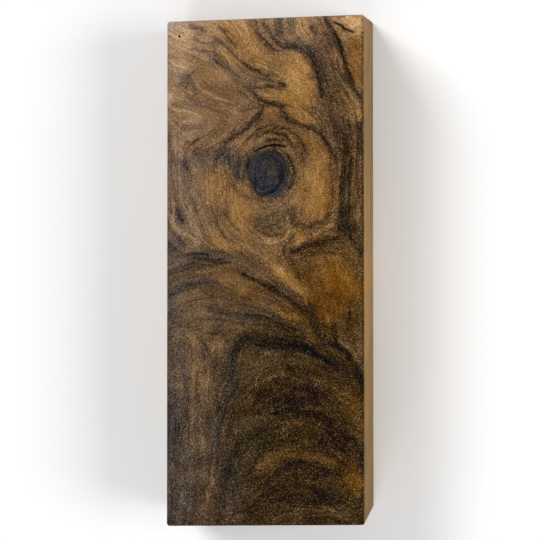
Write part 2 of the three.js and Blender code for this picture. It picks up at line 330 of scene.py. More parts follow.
# Sheaves of fine growth lines between two guides: tone, strength, half width, count, and the two guides.
SHEAVES = [
    ("bark", 0.45, 0.22, 9, [(-24.8, 34), (-24.6, 22), (-23.6, 13), (-21, 9.6)],
     [(-15.5, 27), (-15, 19), (-13.6, 12.5), (-9, 7.4)]),
    ("tan", 0.5, 0.25, 7, [(-22.6, 30), (-21.6, 20), (-20, 13), (-17.4, 8)], [(-17, 26), (-16, 19),
     (-15, 13), (-11.6, 8)]),
    ("bark", 0.4, 0.2, 7, [(-12.8, 24), (-13.3, 15), (-9.5, 9), (-5, 6.4)],
     [(-7.4, 24), (-8, 18.5), (-5.4, 12.5), (-2, 9.6)]),
    ("umber", 0.5, 0.24, 9, [(-6, 31), (-3.4, 36.4), (2, 38), (6.4, 36.2), (10, 30.6)],
     [(-3.6, 32.5), (-1.6, 33.6), (1.8, 34.2), (5, 33.6), (7.4, 31)]),
    ("gold", 0.3, 0.22, 6, [(-6, 32), (-3, 36), (2, 37.6), (7, 35.6), (9.6, 31)],
     [(-4, 32.5), (-1.6, 34), (1.8, 34.8), (5, 34), (7.8, 31)]),
    ("bark", 0.3, 0.22, 7, [(9, 33), (10.6, 28), (10, 22), (7, 18)],
     [(16, 33), (17.6, 26), (17.4, 18), (15.4, 13.6)]),
    ("bark", 0.3, 0.2, 5, [(7.8, 31), (8.2, 26), (7.2, 21), (4.6, 18.4)], [(9.6, 32), (11, 26), (9.4, 20),
     (6.6, 17)]),
    ("ink", 0.65, 0.3, 9, [(19.4, 33), (19.6, 24), (19, 14)], [(22.6, 33), (22, 24), (22.4, 13)]),
    ("umber", 0.4, 0.3, 7, [(19, 36), (19.6, 30), (19.6, 22), (19.4, 15)], [(21, 38), (22, 32),
     (22.8, 22), (23, 12)]),
    ("bark", 0.4, 0.25, 8, [(23, 36), (23, 24), (23.4, 12)], [(25.2, 36), (25, 24), (25.2, 11)]),
    ("umber", 0.3, 0.24, 9, [(12.6, 54), (14, 49), (15.4, 44), (17, 38)], [(17.4, 56), (20, 50),
     (22.4, 45), (24.6, 38)]),
    ("umber", 0.45, 0.28, 7, [(1, 62), (2.6, 59.4), (7, 58.6), (11.4, 57.6), (13.4, 53)],
     [(3, 59), (5, 57.2), (9, 56.8), (12, 54), (12.6, 49)]),
    ("bark", 0.4, 0.25, 8, [(11, 65), (13, 60), (14.6, 55)], [(15, 65), (17, 60.6), (18.4, 56)]),
    ("bark", 0.45, 0.25, 9, [(-24.8, -4), (-15, -1.5), (-7, -5), (2, -7), (9, -12)],
     [(-24.4, -14), (-13, -9), (-5, -12.5), (3, -14), (10, -16)]),
    ("umber", 0.4, 0.3, 8, [(-17, -7.8), (-9, -9.2), (-1, -10.2), (6, -13.2), (11, -15.6)],
     [(-14, -11.6), (-7, -12.6), (0, -13.4), (6, -15.4), (11, -17.4)]),
    ("umber", 0.25, 0.25, 8, [(-25, 1.5), (-17, 3.6), (-9, 4)], [(-25, -5), (-17, -1.5), (-8, 1.5)]),
    ("ink", 0.35, 0.35, 6, [(-7.8, -21), (-6.6, -17), (0, -15), (9, -16.6), (17, -21), (24.6, -26)],
     [(-6.4, -22), (-5, -19.2), (1, -20), (9, -20.4), (17, -24.4), (24, -30)]),
    ("umber", 0.32, 0.3, 8, [(-9.5, -24), (-11.4, -34), (-13.4, -44), (-13, -64)],
     [(-4, -30), (-6.4, -37), (-9.4, -46), (-10.4, -64)]),
    ("brown", 0.35, 0.3, 6, [(-7, -30), (-10.4, -36), (-12, -44), (-12.4, -56)],
     [(-4, -32), (-7, -38), (-9.4, -45), (-10.4, -54)]),
    ("umber", 0.25, 0.3, 8, [(-25.2, -22), (-24.8, -40), (-24.6, -64)], [(-15.4, -24), (-17, -40),
     (-15, -64)]),
    ("ink", 0.32, 0.45, 7, [(-5, -35), (2, -29), (11, -29), (19, -32), (25, -37)],
     [(-3, -45), (2, -37.6), (9, -35), (17, -38), (24, -43)]),
    ("ink", 0.32, 0.45, 8, [(-6, -41), (2, -37), (11, -37), (19, -40), (25, -45)],
     [(-3, -56), (2, -50.6), (9, -46), (17, -48), (24, -53)]),
    ("ink", 0.32, 0.45, 7, [(-2, -58), (5, -52), (13, -50.6), (20, -53), (24, -59)],
     [(-6, -65), (3, -63), (12, -61.6), (19, -62.6), (25, -64)]),
    ("honey", 0.3, 0.4, 6, [(-3, -51), (2, -46), (9, -43), (17, -45), (24, -48)],
     [(0, -58), (5, -54), (12, -53.6), (18, -55), (23, -60)]),
    ("brown", 0.35, 0.4, 6, [(-2, -31), (4, -24.6), (12, -26), (20, -29), (25, -32)],
     [(0, -38), (5, -32), (12, -32), (19, -35), (25, -41)]),
    ("bark", 0.35, 0.22, 9, [(-19, 63), (-10, 61), (-6, 55), (0, 51), (4, 49)],
     [(-20, 57), (-14, 54.6), (-8, 50), (-4, 46), (4, 43.4)]),
    ("bark", 0.25, 0.22, 7, [(-19, 50), (-15, 46), (-9, 44), (-4, 41), (-9, 34.4)],
     [(-24, 42), (-18, 39), (-13, 38), (-13, 36), (-18, 33)]),
    ("bark", 0.12, 0.3, 7, [(9, 4), (11, -3), (13, -10), (16, -16)], [(23, 3), (24, -3), (23.4, -10),
     (23, -17)]),
    ("gold", 0.15, 0.25, 6, [(13, 4), (15, -3), (16, -9), (18, -15)], [(22, 2), (24, -4), (23.4, -9),
     (22.6, -15)]),
]

# Single streaks: tone, strength, half width on the left and on the right of the way the points run, points.
STREAKS = [
    # Across the head
    ("plum", 0.7, 0.5, 0.5, [(-20, 63.7), (-18.6, 63), (-17.4, 62.8), (-16.2, 62.3), (-15.3, 61.6)]),
    ("plum", 0.5, 0.5, 0.5, [(-19.6, 60.2), (-17.4, 59.6), (-15.1, 58.6), (-12.8, 58.8), (-11, 58)]),
    ("slate", 0.35, 0.8, 0.8, [(-14, 59), (-12, 58.6), (-10.4, 57.4)]),
    ("plum", 0.65, 0.4, 0.35, [(-19.6, 57.6), (-15.9, 56.6), (-13.9, 55.1), (-12, 53.7), (-10.4, 52.4)]),
    ("slate", 0.65, 0.45, 0.55, [(-14.6, 55.8), (-12.6, 54.2), (-10.5, 52.6), (-8.6, 50.9), (-6.6, 49.4),
     (-4.6, 48.1)]),
    ("umber", 0.85, 0.3, 0.3, [(-12, 63), (-11.4, 62), (-10.2, 61), (-8.9, 59.4), (-7.9, 58.2),
     (-7, 56.8)]),
    ("umber", 0.8, 0.26, 0.24, [(-10.4, 58), (-8.9, 56.5), (-7.8, 55.3), (-6.6, 54.2), (-5.2, 53.1),
     (-3.8, 52.1),
                            (-1.9, 51.8), (-0.2, 52.4)]),
        ("plum", 0.5, 0.35, 0.35, [(-8, 52.8), (-6, 51.4), (-4, 50.2), (-1.6, 49.4), (1, 49.4),
         (3.4, 48.6)]),
    ("umber", 0.9, 0.32, 0.34, [(-2.9, 65), (-2.4, 63.2), (-1.4, 61.5), (-0.3, 60), (1, 58.5),
     (2.4, 57.3), (4.4, 56.7)]),
    ("plum", 0.5, 0.3, 0.4, [(-1.4, 64), (-0.6, 62.7), (0.3, 61.8), (0.8, 60.4)]),
    ("slate", 0.5, 1.7, 1.5, [(3.8, 66), (3.4, 63.6), (2.9, 61.6), (2.4, 60)]),
    ("slate", 0.5, 0.8, 0.8, [(6.8, 65.6), (6.9, 63), (7, 60.6)]),
    ("slate", 0.25, 0.9, 0.9, [(1.2, 60.4), (2.8, 59.4), (4.6, 58.2), (6.6, 58.2)]),
    ("slate", 0.5, 1.0, 0.8, [(6, 59.1), (6.4, 58.4), (8.6, 58.3), (10.6, 57.2), (12.4, 55.4)]),
    ("slate", 0.35, 1.6, 1.0, [(6.4, 59), (9, 58.2), (11, 56.6), (12.8, 54), (13.8, 51.4), (14.2, 48),
     (14.8, 44)]),
    ("umber", 0.85, 0.5, 0.5, [(11.4, 56.6), (12.6, 54.4), (13, 51.6), (13.5, 48.6), (14, 46),
     (14.6, 43.4)]),
    ("umber", 0.25, 0.9, 1.0, [(13, 55), (14.8, 52.8), (16.2, 50), (18, 47.4), (19.8, 44.4), (20.6, 41)]),
    ("ink", 0.35, 0.6, 0.7, [(14.6, 51), (15.6, 48.4), (16.8, 46), (17.6, 43)]),
    ("umber", 0.55, 0.4, 0.4, [(11.6, 63), (12.6, 61.6), (13.8, 60.4)]),
    ("umber", 0.45, 0.4, 0.4, [(14.4, 61.8), (15.4, 60), (16.4, 58.4), (17.4, 56)]),
    ("umber", 0.35, 1.0, 0.7, [(17, 62.4), (18, 59.6), (18.9, 57), (19.4, 54.6)]),
    ("ink", 0.97, 0.4, 0.55, [(14.8, 66), (15.9, 64.2), (17.1, 62), (18.6, 58.9), (19.8, 55.6),
     (20.8, 52.4), (22.2, 49),
                             (23.4, 46.4), (25.2, 43.6)]),
    ("umber", 0.5, 0.3, 1.2, [(17, 62), (18.6, 58.8), (19.6, 55.5), (20.6, 52.4), (21.9, 49),
     (23.8, 45.4)]),
    ("tan", 0.55, 0.3, 0.3, [(16.6, 51.8), (18.2, 50.4), (19.8, 48.8), (21.4, 47.2), (22.4, 46)]),
    ("bark", 0.5, 0.25, 0.25, [(15.6, 53.8), (16.8, 54.2), (18, 52.6), (18.9, 50.8)]),
    ("cream", 0.5, 0.25, 0.25, [(19.1, 59.4), (20.8, 60), (22.6, 60.5), (24.8, 61.1)]),
    ("tan", 0.4, 0.2, 0.2, [(20.6, 59.4), (22.4, 60.3), (23.4, 61)]),
    ("cream", 0.6, 0.3, 0.3, [(18.6, 64.2), (19.8, 63.6), (20.8, 62.9), (22.4, 62.3)]),
    ("cream", 0.5, 0.3, 0.3, [(20, 61.4), (21.2, 61.2), (23, 60.6)]),
    # The brown leaf and the loop at the left
    ("plum", 0.85, 1.0, 1.0, [(-5, 48.6), (-3.9, 47.8), (-3.1, 46.6)]),
    ("umber", 0.97, 0.5, 0.5, [(-3.6, 47.2), (-2.8, 45.9), (-2, 44.7), (-0.6, 43.8), (0.9, 43.4),
     (2.6, 43.3), (4.6, 42.9),
                              (6.4, 42.6)], 0),
    ("umber", 0.9, 0.32, 0.32, [(-2.9, 47.2), (-1.4, 47.3), (0.6, 47.2), (2.6, 47)]),
    ("umber", 0.75, 1.0, 0.9, [(3.2, 48.4), (4.2, 47.9), (5.2, 47.6)]),
    ("olive", 0.6, 0.9, 0.9, [(-1, 48.4), (1, 48.6), (3, 48.8)]),
    ("tan", 0.45, 0.25, 0.25, [(-6.8, 52.8), (-5.2, 51), (-3.2, 49.6), (-1, 48.4), (1, 48.2)]),
    ("cream", 0.65, 0.26, 0.26, [(-19.4, 51), (-18.4, 49.6), (-17.2, 47.9), (-16, 46.6), (-14.2, 45.6),
     (-11.9, 44.7),
                                (-9.2, 43.7), (-6.9, 42.5)]),
    ("slate", 0.7, 0.9, 0.9, [(-22, 49.2), (-20.6, 49), (-19, 48.4)]),
    ("plum", 0.6, 0.4, 0.35, [(-20.4, 50.2), (-18.6, 49), (-17.7, 47.2), (-18.3, 45.6)]),
    ("plum", 0.35, 0.4, 0.4, [(-21.6, 49), (-22.6, 47.4), (-22.4, 45.6)]),
    ("slate", 0.5, 0.7, 0.7, [(-21, 44.4), (-19.8, 44.2), (-18.8, 44.6)]),
    ("plum", 0.35, 0.5, 0.5, [(-24.8, 50.8), (-22.4, 50.3), (-19.8, 50.4), (-18, 51.6), (-15, 52.6)]),
    ("plum", 0.3, 0.9, 0.9, [(-19.6, 44.2), (-16.4, 43.2), (-12, 42.7), (-8.4, 42.6)]),
    ("plum", 0.4, 0.5, 0.5, [(-23, 43), (-23.4, 43.4), (-21.4, 42.8)]),
    ("cream", 0.65, 0.28, 0.28, [(-25, 42.2), (-22.4, 41.7), (-20.1, 41.3), (-17.8, 40.7), (-15.9, 39.8)]),
    ("cream", 0.4, 0.22, 0.22, [(-21.4, 39), (-19, 38.9), (-16.2, 39.6)]),
    ("tan", 0.4, 0.25, 0.25, [(-13.4, 40.4), (-12.6, 38.6), (-12.8, 37)]),
    ("cream", 0.4, 0.25, 0.25, [(-24.6, 57.4), (-22.6, 55.8), (-20.6, 54), (-18.8, 53)]),
    # The tent over the knot
    ("umber", 0.92, 0.4, 0.5, [(0, 43), (-0.9, 41.6), (-2, 40), (-3.8, 38), (-5.9, 36.2), (-8.2, 34.5),
     (-10.2, 33.2),
                             (-11.8, 32.6)]),
    ("plum", 0.45, 0.3, 0.9, [(-1.4, 41.6), (-3, 39.8), (-5, 37.8), (-7.4, 35.8), (-9.6, 34.2)]),
    ("umber", 0.97, 0.5, 0.5, [(3.9, 42.6), (4.4, 41.6), (5.3, 40.3), (7.1, 38.8), (9.4, 37.6),
     (12, 36.9), (13.9, 35.6),
                              (15.5, 33.6), (17, 31.3), (18, 29), (18.7, 26.6)], 0),
    ("umber", 0.5, 0.3, 0.3, [(5, 39.4), (6.8, 38.2), (9, 37.2)]),
    ("umber", 0.45, 0.3, 0.5, [(16.9, 29), (17.2, 25.4), (17.5, 22.6), (17.8, 19.6), (17.8, 16.4)]),
    ("gold", 0.4, 0.6, 0.6, [(18.4, 24), (18.5, 20), (18.4, 16)]),
    ("umber", 0.75, 0.4, 0.35, [(-3.9, 35), (-2.4, 36.3), (-0.4, 37), (1.4, 37.4), (3.6, 37.2),
     (5.8, 36.4), (7.6, 35),
                               (9.2, 32.8), (10.2, 30.2), (10.2, 27.6)]),
    ("umber", 0.7, 0.32, 0.32, [(-3.4, 33.8), (-1.2, 35.2), (1.3, 35.9), (3.5, 35.5), (5.4, 34.3),
     (7.2, 32.4)]),
    ("umber", 0.65, 0.4, 0.4, [(-0.4, 33.5), (1.3, 34), (3.4, 34), (5, 33.4)]),
    ("gold", 0.4, 0.25, 0.25, [(-4, 34), (-1.6, 35.8), (1.4, 36.7), (4.2, 36.3), (6.4, 34.9), (8.2, 32.4)]),
    ("gold", 0.35, 0.25, 0.25, [(-3, 33.2), (-1, 34.5), (1.6, 35), (3.8, 34.7), (5.8, 33.4), (7.4, 31.4)]),
    ("brown", 0.4, 0.5, 0.5, [(-8.6, 31.6), (-7.2, 33.2), (-5.4, 34.8), (-3.8, 36)]),
    ("plum", 0.35, 0.9, 0.9, [(-6.4, 40.8), (-4, 42.2), (-1.6, 42.6)]),
    ("gold", 0.3, 0.5, 0.5, [(-7.4, 31), (-6, 32.6), (-4.4, 33.8)]),
    # The dark patches left of the knot
    ("plum", 0.55, 0.6, 0.6, [(-12.2, 36), (-14.6, 35.2), (-16.9, 34.3), (-18.6, 32.6)]),
    ("slate", 0.7, 1.0, 1.0, [(-13.6, 30.2), (-11.6, 31), (-9.4, 31)]),
    ("slate", 0.6, 0.9, 0.9, [(-9.6, 30.6), (-8.8, 28.4), (-8, 26), (-7.2, 23)]),
    ("slate", 0.7, 0.9, 0.8, [(-6.6, 30), (-6.2, 28), (-6, 25.6), (-5.8, 23.6)]),
    ("plum", 0.5, 0.7, 0.7, [(-17.8, 30), (-16.4, 29.4), (-15, 27)]),
    ("plum", 0.4, 1.1, 1.1, [(-21.2, 28.6), (-20.6, 26.4)]),
    ("plum", 0.6, 0.5, 0.6, [(-9, 24), (-7.6, 21.4), (-5.4, 19.4), (-3.4, 18)]),
    ("plum", 0.4, 0.8, 0.6, [(-25.2, 40), (-24.4, 36), (-24.8, 31)]),
    ("tan", 0.5, 0.3, 0.3, [(-5.5, 29), (-5.6, 26.6), (-5.2, 24), (-4.2, 21.4), (-2.6, 19.4)]),
    # Down the right side
    ("umber", 0.35, 1.3, 1.3, [(16.4, 41), (18.6, 37), (20.4, 33.4), (21.2, 30)]),
    ("ink", 0.45, 0.9, 0.9, [(20.6, 39.6), (21.6, 37), (21.4, 33)]),
    ("ink", 0.9, 0.55, 0.55, [(20.6, 33), (20.7, 28), (20.8, 22), (20.5, 17), (20.4, 13)]),
    ("ink", 0.85, 0.7, 0.7, [(21.9, 31), (21.9, 25), (22, 20), (22, 15)]),
    ("ink", 0.7, 0.35, 0.35, [(19.8, 29), (19.8, 22), (19.4, 16), (19.6, 12)]),
    ("gold", 0.35, 0.2, 0.2, [(21.2, 30), (21.1, 24), (21.1, 18)]),
    ("gold", 0.4, 0.25, 0.25, [(19.2, 27), (19.1, 21), (18.7, 15)]),
    ("gold", 0.35, 0.25, 0.25, [(22.4, 24), (22.5, 18), (22.8, 13)]),
    ("ink", 0.9, 1.8, 1.4, [(18.4, 11.4), (20.4, 11.2), (22.4, 10.6)]),
    ("ink", 0.6, 0.9, 0.9, [(20.2, 13.6), (21, 12), (22, 9.6)]),
    ("ink", 0.9, 0.6, 0.6, [(21.8, 10), (22.6, 8.6), (23.6, 7.3), (24.4, 5.9), (25.6, 4.6)]),
    ("ink", 0.75, 0.45, 0.6, [(24.9, 39), (24.6, 36.8), (24.8, 33), (25, 29)]),
    ("umber", 0.5, 0.4, 0.4, [(24.8, 33), (24.9, 26), (24.7, 18), (25, 12)]),
    # The knot's skirt
    ("umber", 0.7, 0.45, 0.5, [(17.4, 15.8), (16, 14.2), (14.6, 13.1), (12.4, 12.5), (11.9, 11)]),
    ("cream", 0.55, 0.35, 0.35, [(18.3, 12.6), (16.6, 12), (15, 11.2), (13.6, 10.2), (12.8, 9.4)]),
    ("gold", 0.5, 0.7, 0.7, [(17.4, 11.6), (15, 10.4), (13.4, 9.2)]),
    ("umber", 0.7, 0.9, 0.9, [(19.6, 9.2), (16.8, 8.6), (14.4, 7.6), (12.2, 7.5)]),
    ("umber", 0.75, 0.6, 0.7, [(13, 7.4), (10.6, 6.9), (8.4, 6), (6.4, 5.4)]),
    ("plum", 0.6, 0.5, 0.5, [(4.6, 7.6), (4.7, 6), (5, 4.6)]),
    ("bark", 0.5, 0.8, 0.8, [(5.2, 18.6), (6, 16), (7.6, 13.6), (9.4, 12.6)]),
    ("umber", 0.85, 0.4, 0.35, [(5.8, 4.4), (6.5, 3.6), (7.2, 2.7), (8, 2.2)]),
    ("umber", 0.7, 0.3, 0.3, [(7.2, 2.6), (8, 1.6), (8.6, 0.2), (9.2, -2)]),
    ("umber", 0.4, 0.3, 0.6, [(8.4, 3.8), (11.6, 5.1), (15.6, 5.7), (19.6, 5), (22.8, 2.8), (24.2, -2)]),
    ("cream", 0.5, 0.4, 0.45, [(-1.1, 9.2), (0.4, 8.1), (2.4, 7.9), (4.4, 8.8), (6.2, 10.6), (7, 12.6)]),
    ("olive", 0.6, 0.5, 0.5, [(-0.6, 10.4), (1.6, 9.4), (4, 9.8)]),
    ("tan", 0.55, 0.3, 0.3, [(-5.5, 19.2), (-4.2, 17.8), (-2.6, 16.6), (-1.2, 15.8)]),
    ("tan", 0.5, 0.35, 0.35, [(-1.8, 16), (0.4, 17), (3.2, 18.2)]),
    ("umber", 0.55, 0.28, 0.28, [(-14.3, 18.6), (-13.5, 15.4), (-12.2, 12.2), (-10.4, 9.7), (-8.4, 8),
     (-6.6, 6.9)]),
    ("umber", 0.5, 0.28, 0.28, [(-11, 16.8), (-9.9, 14.2), (-8.4, 12.1), (-6.7, 10.4)]),
    ("cream", 0.35, 0.7, 0.9, [(-13.6, 12.6), (-11.8, 9.8), (-9.4, 7.9), (-6, 6)]),
    ("bark", 0.4, 0.9, 0.9, [(-17, 12.6), (-15.8, 10.2), (-13.4, 7.8)]),
    ("cream", 0.45, 0.5, 0.5, [(-24.2, 22), (-24, 15.2), (-23.6, 12.6), (-22.3, 11), (-20.4, 9.9),
     (-18.5, 8.5),
                              (-17, 7.2)]),
    ("tan", 0.5, 0.4, 0.4, [(-21, 22), (-19.9, 18.4), (-19, 14.3), (-17.4, 11.1), (-16.4, 8.8),
     (-16.2, 7)]),
    ("plum", 0.5, 0.9, 0.9, [(-22.6, 16.6), (-22.4, 14.6), (-21.4, 12.8)]),
    ("plum", 0.5, 0.4, 0.4, [(-18.8, 20), (-18.2, 17), (-17.9, 15)]),
    ("plum", 0.5, 1.2, 1.2, [(-23.4, 9.4), (-22, 7.4), (-20.4, 6)]),
    ("cream", 0.55, 0.8, 0.8, [(-18, 8), (-17, 7)]),
    ("cream", 0.4, 0.2, 0.2, [(-22.6, 24.7), (-21.6, 23.2), (-20.8, 21.6)]),
    ("cream", 0.3, 0.2, 0.2, [(-19, 26.6), (-17.6, 25.6)]),
    # The dark band and the diagonal
    ("slate", 0.45, 1.4, 1.4, [(-20.6, 3.7), (-16.6, 4.2), (-13.2, 4.4), (-9.6, 4.4)]),
    ("umber", 0.35, 0.9, 0.9, [(-19.4, 3.4), (-16.4, 3.7), (-13.6, 4)]),
    ("slate", 0.3, 1.0, 1.4, [(-25.6, 2.4), (-22, 3.6), (-17, 4.8), (-14.8, 5.6)]),
    ("slate", 0.5, 0.8, 0.8, [(-25.6, -0.4), (-22, 0.6), (-19, 1.4)]),
    ("slate", 0.75, 0.7, 0.9, [(-25.6, -6.2), (-23.2, -4.4), (-20.6, -3.1), (-18, -2.5), (-15, -2.3),
     (-12, -2.6)]),
    ("plum", 0.6, 1.0, 0.8, [(-8.6, 2.4), (-7, 1.2), (-4.6, 0.4), (-2, -1)]),
    ("ink", 0.95, 0.45, 0.5, [(-6.6, -0.2), (-5.4, -0.9), (-3.4, -1.6), (-0.8, -2.7), (1.6, -3.9)]),
    ("umber", 0.92, 1.1, 1.0, [(-0.6, -2.8), (1.8, -4), (4.5, -5.8), (7.1, -7.4), (9.6, -9), (11.6, -9.8)]),
    ("plum", 0.75, 1.9, 1.2, [(1, -3.4), (4, -5.2), (6.8, -6.8), (9.2, -8.6)]),
    ("ink", 0.92, 0.75, 0.7, [(11.3, -7), (11.8, -9), (12.5, -11.4), (13.1, -13.6), (14, -15.8),
     (15.6, -17.2), (17.6, -18.3),
                             (19.6, -19.4), (21.4, -21.2), (22.8, -23.4), (24.2, -25.6), (25.8, -28.6)]),
    ("slate", 0.55, 1.0, 0.9, [(11.4, -8.6), (12.4, -12), (13.4, -15), (15.6, -17.6)]),
    ("plum", 0.5, 0.3, 0.6, [(-7.4, -8.2), (-3.6, -8.9), (0.4, -9.5), (3.9, -11.3), (6.6, -13.3),
     (9.4, -14.6)]),
    ("slate", 0.65, 0.5, 0.9, [(-16.4, -8.6), (-12.9, -9.3), (-10.2, -10.5), (-5.6, -11.2), (-1.4, -10.9),
     (2.4, -11.9),
                              (5.6, -13.4), (8.6, -14.7), (10.8, -15.2)]),
    ("umber", 0.7, 0.8, 1.0, [(-1, -12.8), (3.4, -13.8), (7, -15.2), (11, -16.8)]),
    ("plum", 0.35, 0.4, 0.4, [(-15, -3.6), (-11, -4.9), (-7.8, -7)]),
    ("slate", 0.4, 1.0, 1.0, [(-13.6, -13.6), (-12.4, -14.2), (-11, -13.6)]),
    ("plum", 0.5, 1.0, 0.9, [(-24.8, -9.6), (-24, -11.6), (-24.2, -13.6)]),
    ("umber", 0.6, 0.45, 0.45, [(21.4, -10), (21.7, -11), (21.8, -12.6)]),
    ("plum", 0.5, 0.5, 0.5, [(21, -12.2), (22.4, -12.6)]),
    # The great arch
    ("ink", 0.45, 1.2, 1.4, [(-5.4, -17), (-2.6, -16.6), (1, -16.8), (5, -17.4), (8.6, -18.4)]),
    ("ink", 0.85, 1.0, 1.1, [(8, -18.4), (11.6, -19.8), (14.6, -21.2),
                            (18, -22.4), (21.6, -22.9), (23.6, -25), (25, -28), (26, -31)]),
    ("ink", 0.92, 1.0, 0.75, [(-3.4, -16.3), (-5.2, -16.9), (-6.7, -18.2), (-7.6, -20), (-8.2, -22.6),
     (-8.6, -25.6)]),
    ("slate", 0.85, 1.6, 1.3, [(-8.2, -21.6), (-8.7, -25), (-9.2, -28.6), (-10.2, -32)]),
    ("slate", 0.55, 1.2, 1.2, [(-9.6, -31), (-11.4, -34.6), (-12.6, -38.4), (-12.9, -42.5)]),
    ("slate", 0.6, 0.9, 0.9, [(-12.8, -38), (-12.8, -42.5), (-12.3, -47.6), (-11.8, -52)]),
    ("brown", 0.6, 0.5, 0.6, [(13.6, -19.6), (16.4, -20.4), (19.4, -21.4)]),
    ("ink", 0.6, 0.8, 0.8, [(4.2, -23.8), (6.7, -24.6), (9.4, -25.6), (11.6, -26.4)]),
    ("tan", 0.65, 0.3, 0.3, [(-5.2, -30.6), (-3.4, -29.6), (-1.4, -28.3), (0.8, -26.8), (3.5, -26.2),
     (6.5, -26.8),
                            (9.6, -27.5), (13.4, -28.4), (17.4, -28.8)]),
    ("umber", 0.6, 1.2, 1.2, [(1, -28.6), (5, -28.2), (10, -29.4), (15, -30.8)]),
    ("ink", 0.45, 1.3, 1.3, [(-1, -34.6), (2.4, -32.6), (6.6, -33), (10, -34.4)]),
    ("tan", 0.4, 0.3, 0.3, [(-8.4, -34.4), (-9.8, -37.8), (-10.8, -41), (-11.2, -44)]),
    ("tan", 0.35, 0.3, 0.3, [(-6.4, -36), (-8, -39.6), (-9.4, -43.6), (-10, -48)]),
    ("haze", 0.55, 0.25, 0.25, [(-1.4, -37.2), (-0.6, -37.3), (0.2, -37.6)]),
    ("haze", 0.35, 0.25, 0.25, [(2.9, -38.2), (4, -38.4)]),
    # The arches below it
    ("ink", 0.7, 0.8, 0.9, [(6, -36.6), (9.6, -36), (13.6, -36.4), (16.1, -37.5), (17.7, -39.6),
     (20.6, -41.6), (23, -42.8),
                           (26, -44.4)]),
    ("umber", 0.5, 1.2, 1.2, [(15, -39), (18, -43), (21.6, -44.6), (24, -45.4)]),
    ("ink", 0.75, 1.0, 1.2, [(3.4, -42.6), (1.4, -41), (-1.4, -40.4), (-4, -41.4), (-6, -43.8),
     (-7.8, -46.8), (-9.4, -50.4),
                            (-10.4, -54)]),
    ("slate", 0.5, 1.4, 1.4, [(-7.4, -47), (-9, -51), (-10.4, -56), (-11, -62)]),
    ("umber", 0.6, 0.5, 0.5, [(2.6, -46.5), (4.9, -44.4), (7.6, -43), (10, -42)]),
    ("ink", 0.6, 0.8, 1.4, [(0.4, -55), (2.2, -52), (5, -49.8), (8.5, -48.8), (13, -49.4), (18, -51)]),
    ("honey", 0.35, 1.0, 1.0, [(-2, -52.6), (0.6, -49.8), (3.6, -47.4), (7, -45.8), (10, -45.2)]),
    ("honey", 0.35, 0.9, 0.9, [(9, -47.2), (13, -47.4), (17, -48.4), (20, -49.8)]),
    ("umber", 0.6, 0.5, 0.5, [(24.7, -44.6), (24.8, -47), (24.6, -49)]),
    ("ink", 0.7, 0.45, 0.45, [(10.4, -55), (12.4, -55.5), (14.6, -56.4), (16.8, -57.8), (20, -58.3),
     (22.6, -58.4)]),
    ("ink", 0.6, 0.5, 0.5, [(-1, -60.4), (2.1, -58.8), (6, -58.2), (9, -58.9), (13, -58.8), (18, -59.2)]),
    ("umber", 0.6, 0.4, 0.4, [(13, -63.3), (16, -62.8), (19.6, -63.6), (22, -64)]),
    ("tan", 0.35, 0.35, 0.35, [(4.4, -62.6), (6.6, -62.1), (9, -62.4)]),
    ("tan", 0.75, 1.0, 1.0, [(-8.6, -64), (-7.6, -63.2), (-6.2, -62.4)]),
    # Down the left side
    ("plum", 0.8, 0.5, 0.5, [(-22, -22.4), (-21.4, -25), (-20.8, -27.8), (-20.4, -30.8)]),
    ("plum", 0.5, 1.0, 1.0, [(-20.6, -33.2), (-22, -34.4), (-24, -37.6)]),
    ("plum", 0.6, 0.5, 0.5, [(-23.4, -31.8), (-23.2, -36), (-22.8, -42)]),
    ("plum", 0.45, 0.6, 0.6, [(-24.2, -38), (-24.3, -46), (-24, -56), (-24.2, -64)]),
    ("plum", 0.35, 0.5, 0.5, [(-20.6, -38), (-21, -46), (-19.4, -52), (-19.4, -64.6)]),
    ("plum", 0.4, 0.7, 0.7, [(-16.4, -21), (-15.4, -23), (-14.6, -25.6)]),
    ("cream", 0.4, 0.25, 0.25, [(-18, -41.4), (-16.8, -42), (-15.8, -42.7)]),
    ("haze", 0.4, 0.5, 0.5, [(-20.6, -56.4), (-22, -58.6), (-23.2, -60.8)]),
    ("haze", 0.35, 0.35, 0.35, [(-19.8, -58.4), (-21.6, -60.4), (-22.6, -62.6)]),
    ("tan", 0.4, 0.6, 0.6, [(-16.8, -63), (-15.4, -60), (-14.4, -56), (-14, -51)]),
    ("plum", 0.35, 1.4, 1.4, [(-19, -47), (-17.8, -50)]),
]

# Where the wood is calm, without much mottling: centre, half sizes, turn.
CALM = [
    ((8.3, 50), (5, 7.5), 5), ((-12, 48), (8, 5), -28), ((13, 24), (4.4, 11), 3), ((16, -3), (8, 8.6), 8),
    ((-8, -4), (8, 4), -8), ((-7.6, 16), (4.6, 7), 15), ((23.6, 55), (3, 9), 12), ((1.5, 40), (3, 3), 0),
    ((-15, 38), (5, 4), 0), ((5, -1), (4, 3), -35),
]

# The knot: centre, half sizes, and its bark line, which is a thin dark crescent at its right.
KNOT = {"centre": (0.8, 25.6), "half": (5.9, 6.3), "turn": 8}
KNOT_WAVE = 0.05
KNOT_CORE = (1.1, 0.2)  # where the dark oval starts, and over how much it sets in
# The knot's rings: tone, strength, radius, spread. Its spots: tone, strength, place in it, half sizes.
KNOT_RIM = ("bark", 0.35, 1.12, 0.14)
KNOT_OVAL = ("slate", 0.94, 1.07, 0.2)
KNOT_MIDDLE = ("night", 0.5, 0.45, 0.42)
KNOT_SPOTS = [
    ("night", 0.8, (0.6, -4.3), (2.6, 1.7)),
    ("brown", 0.16, (0.6, 0.2), (1.3, 2.0)),
]
BARK_LINE = [(5.4, 20.6), (6.7, 22.3), (7.4, 24.6), (7.4, 27), (6.7, 29.4), (5.4, 31.1)]


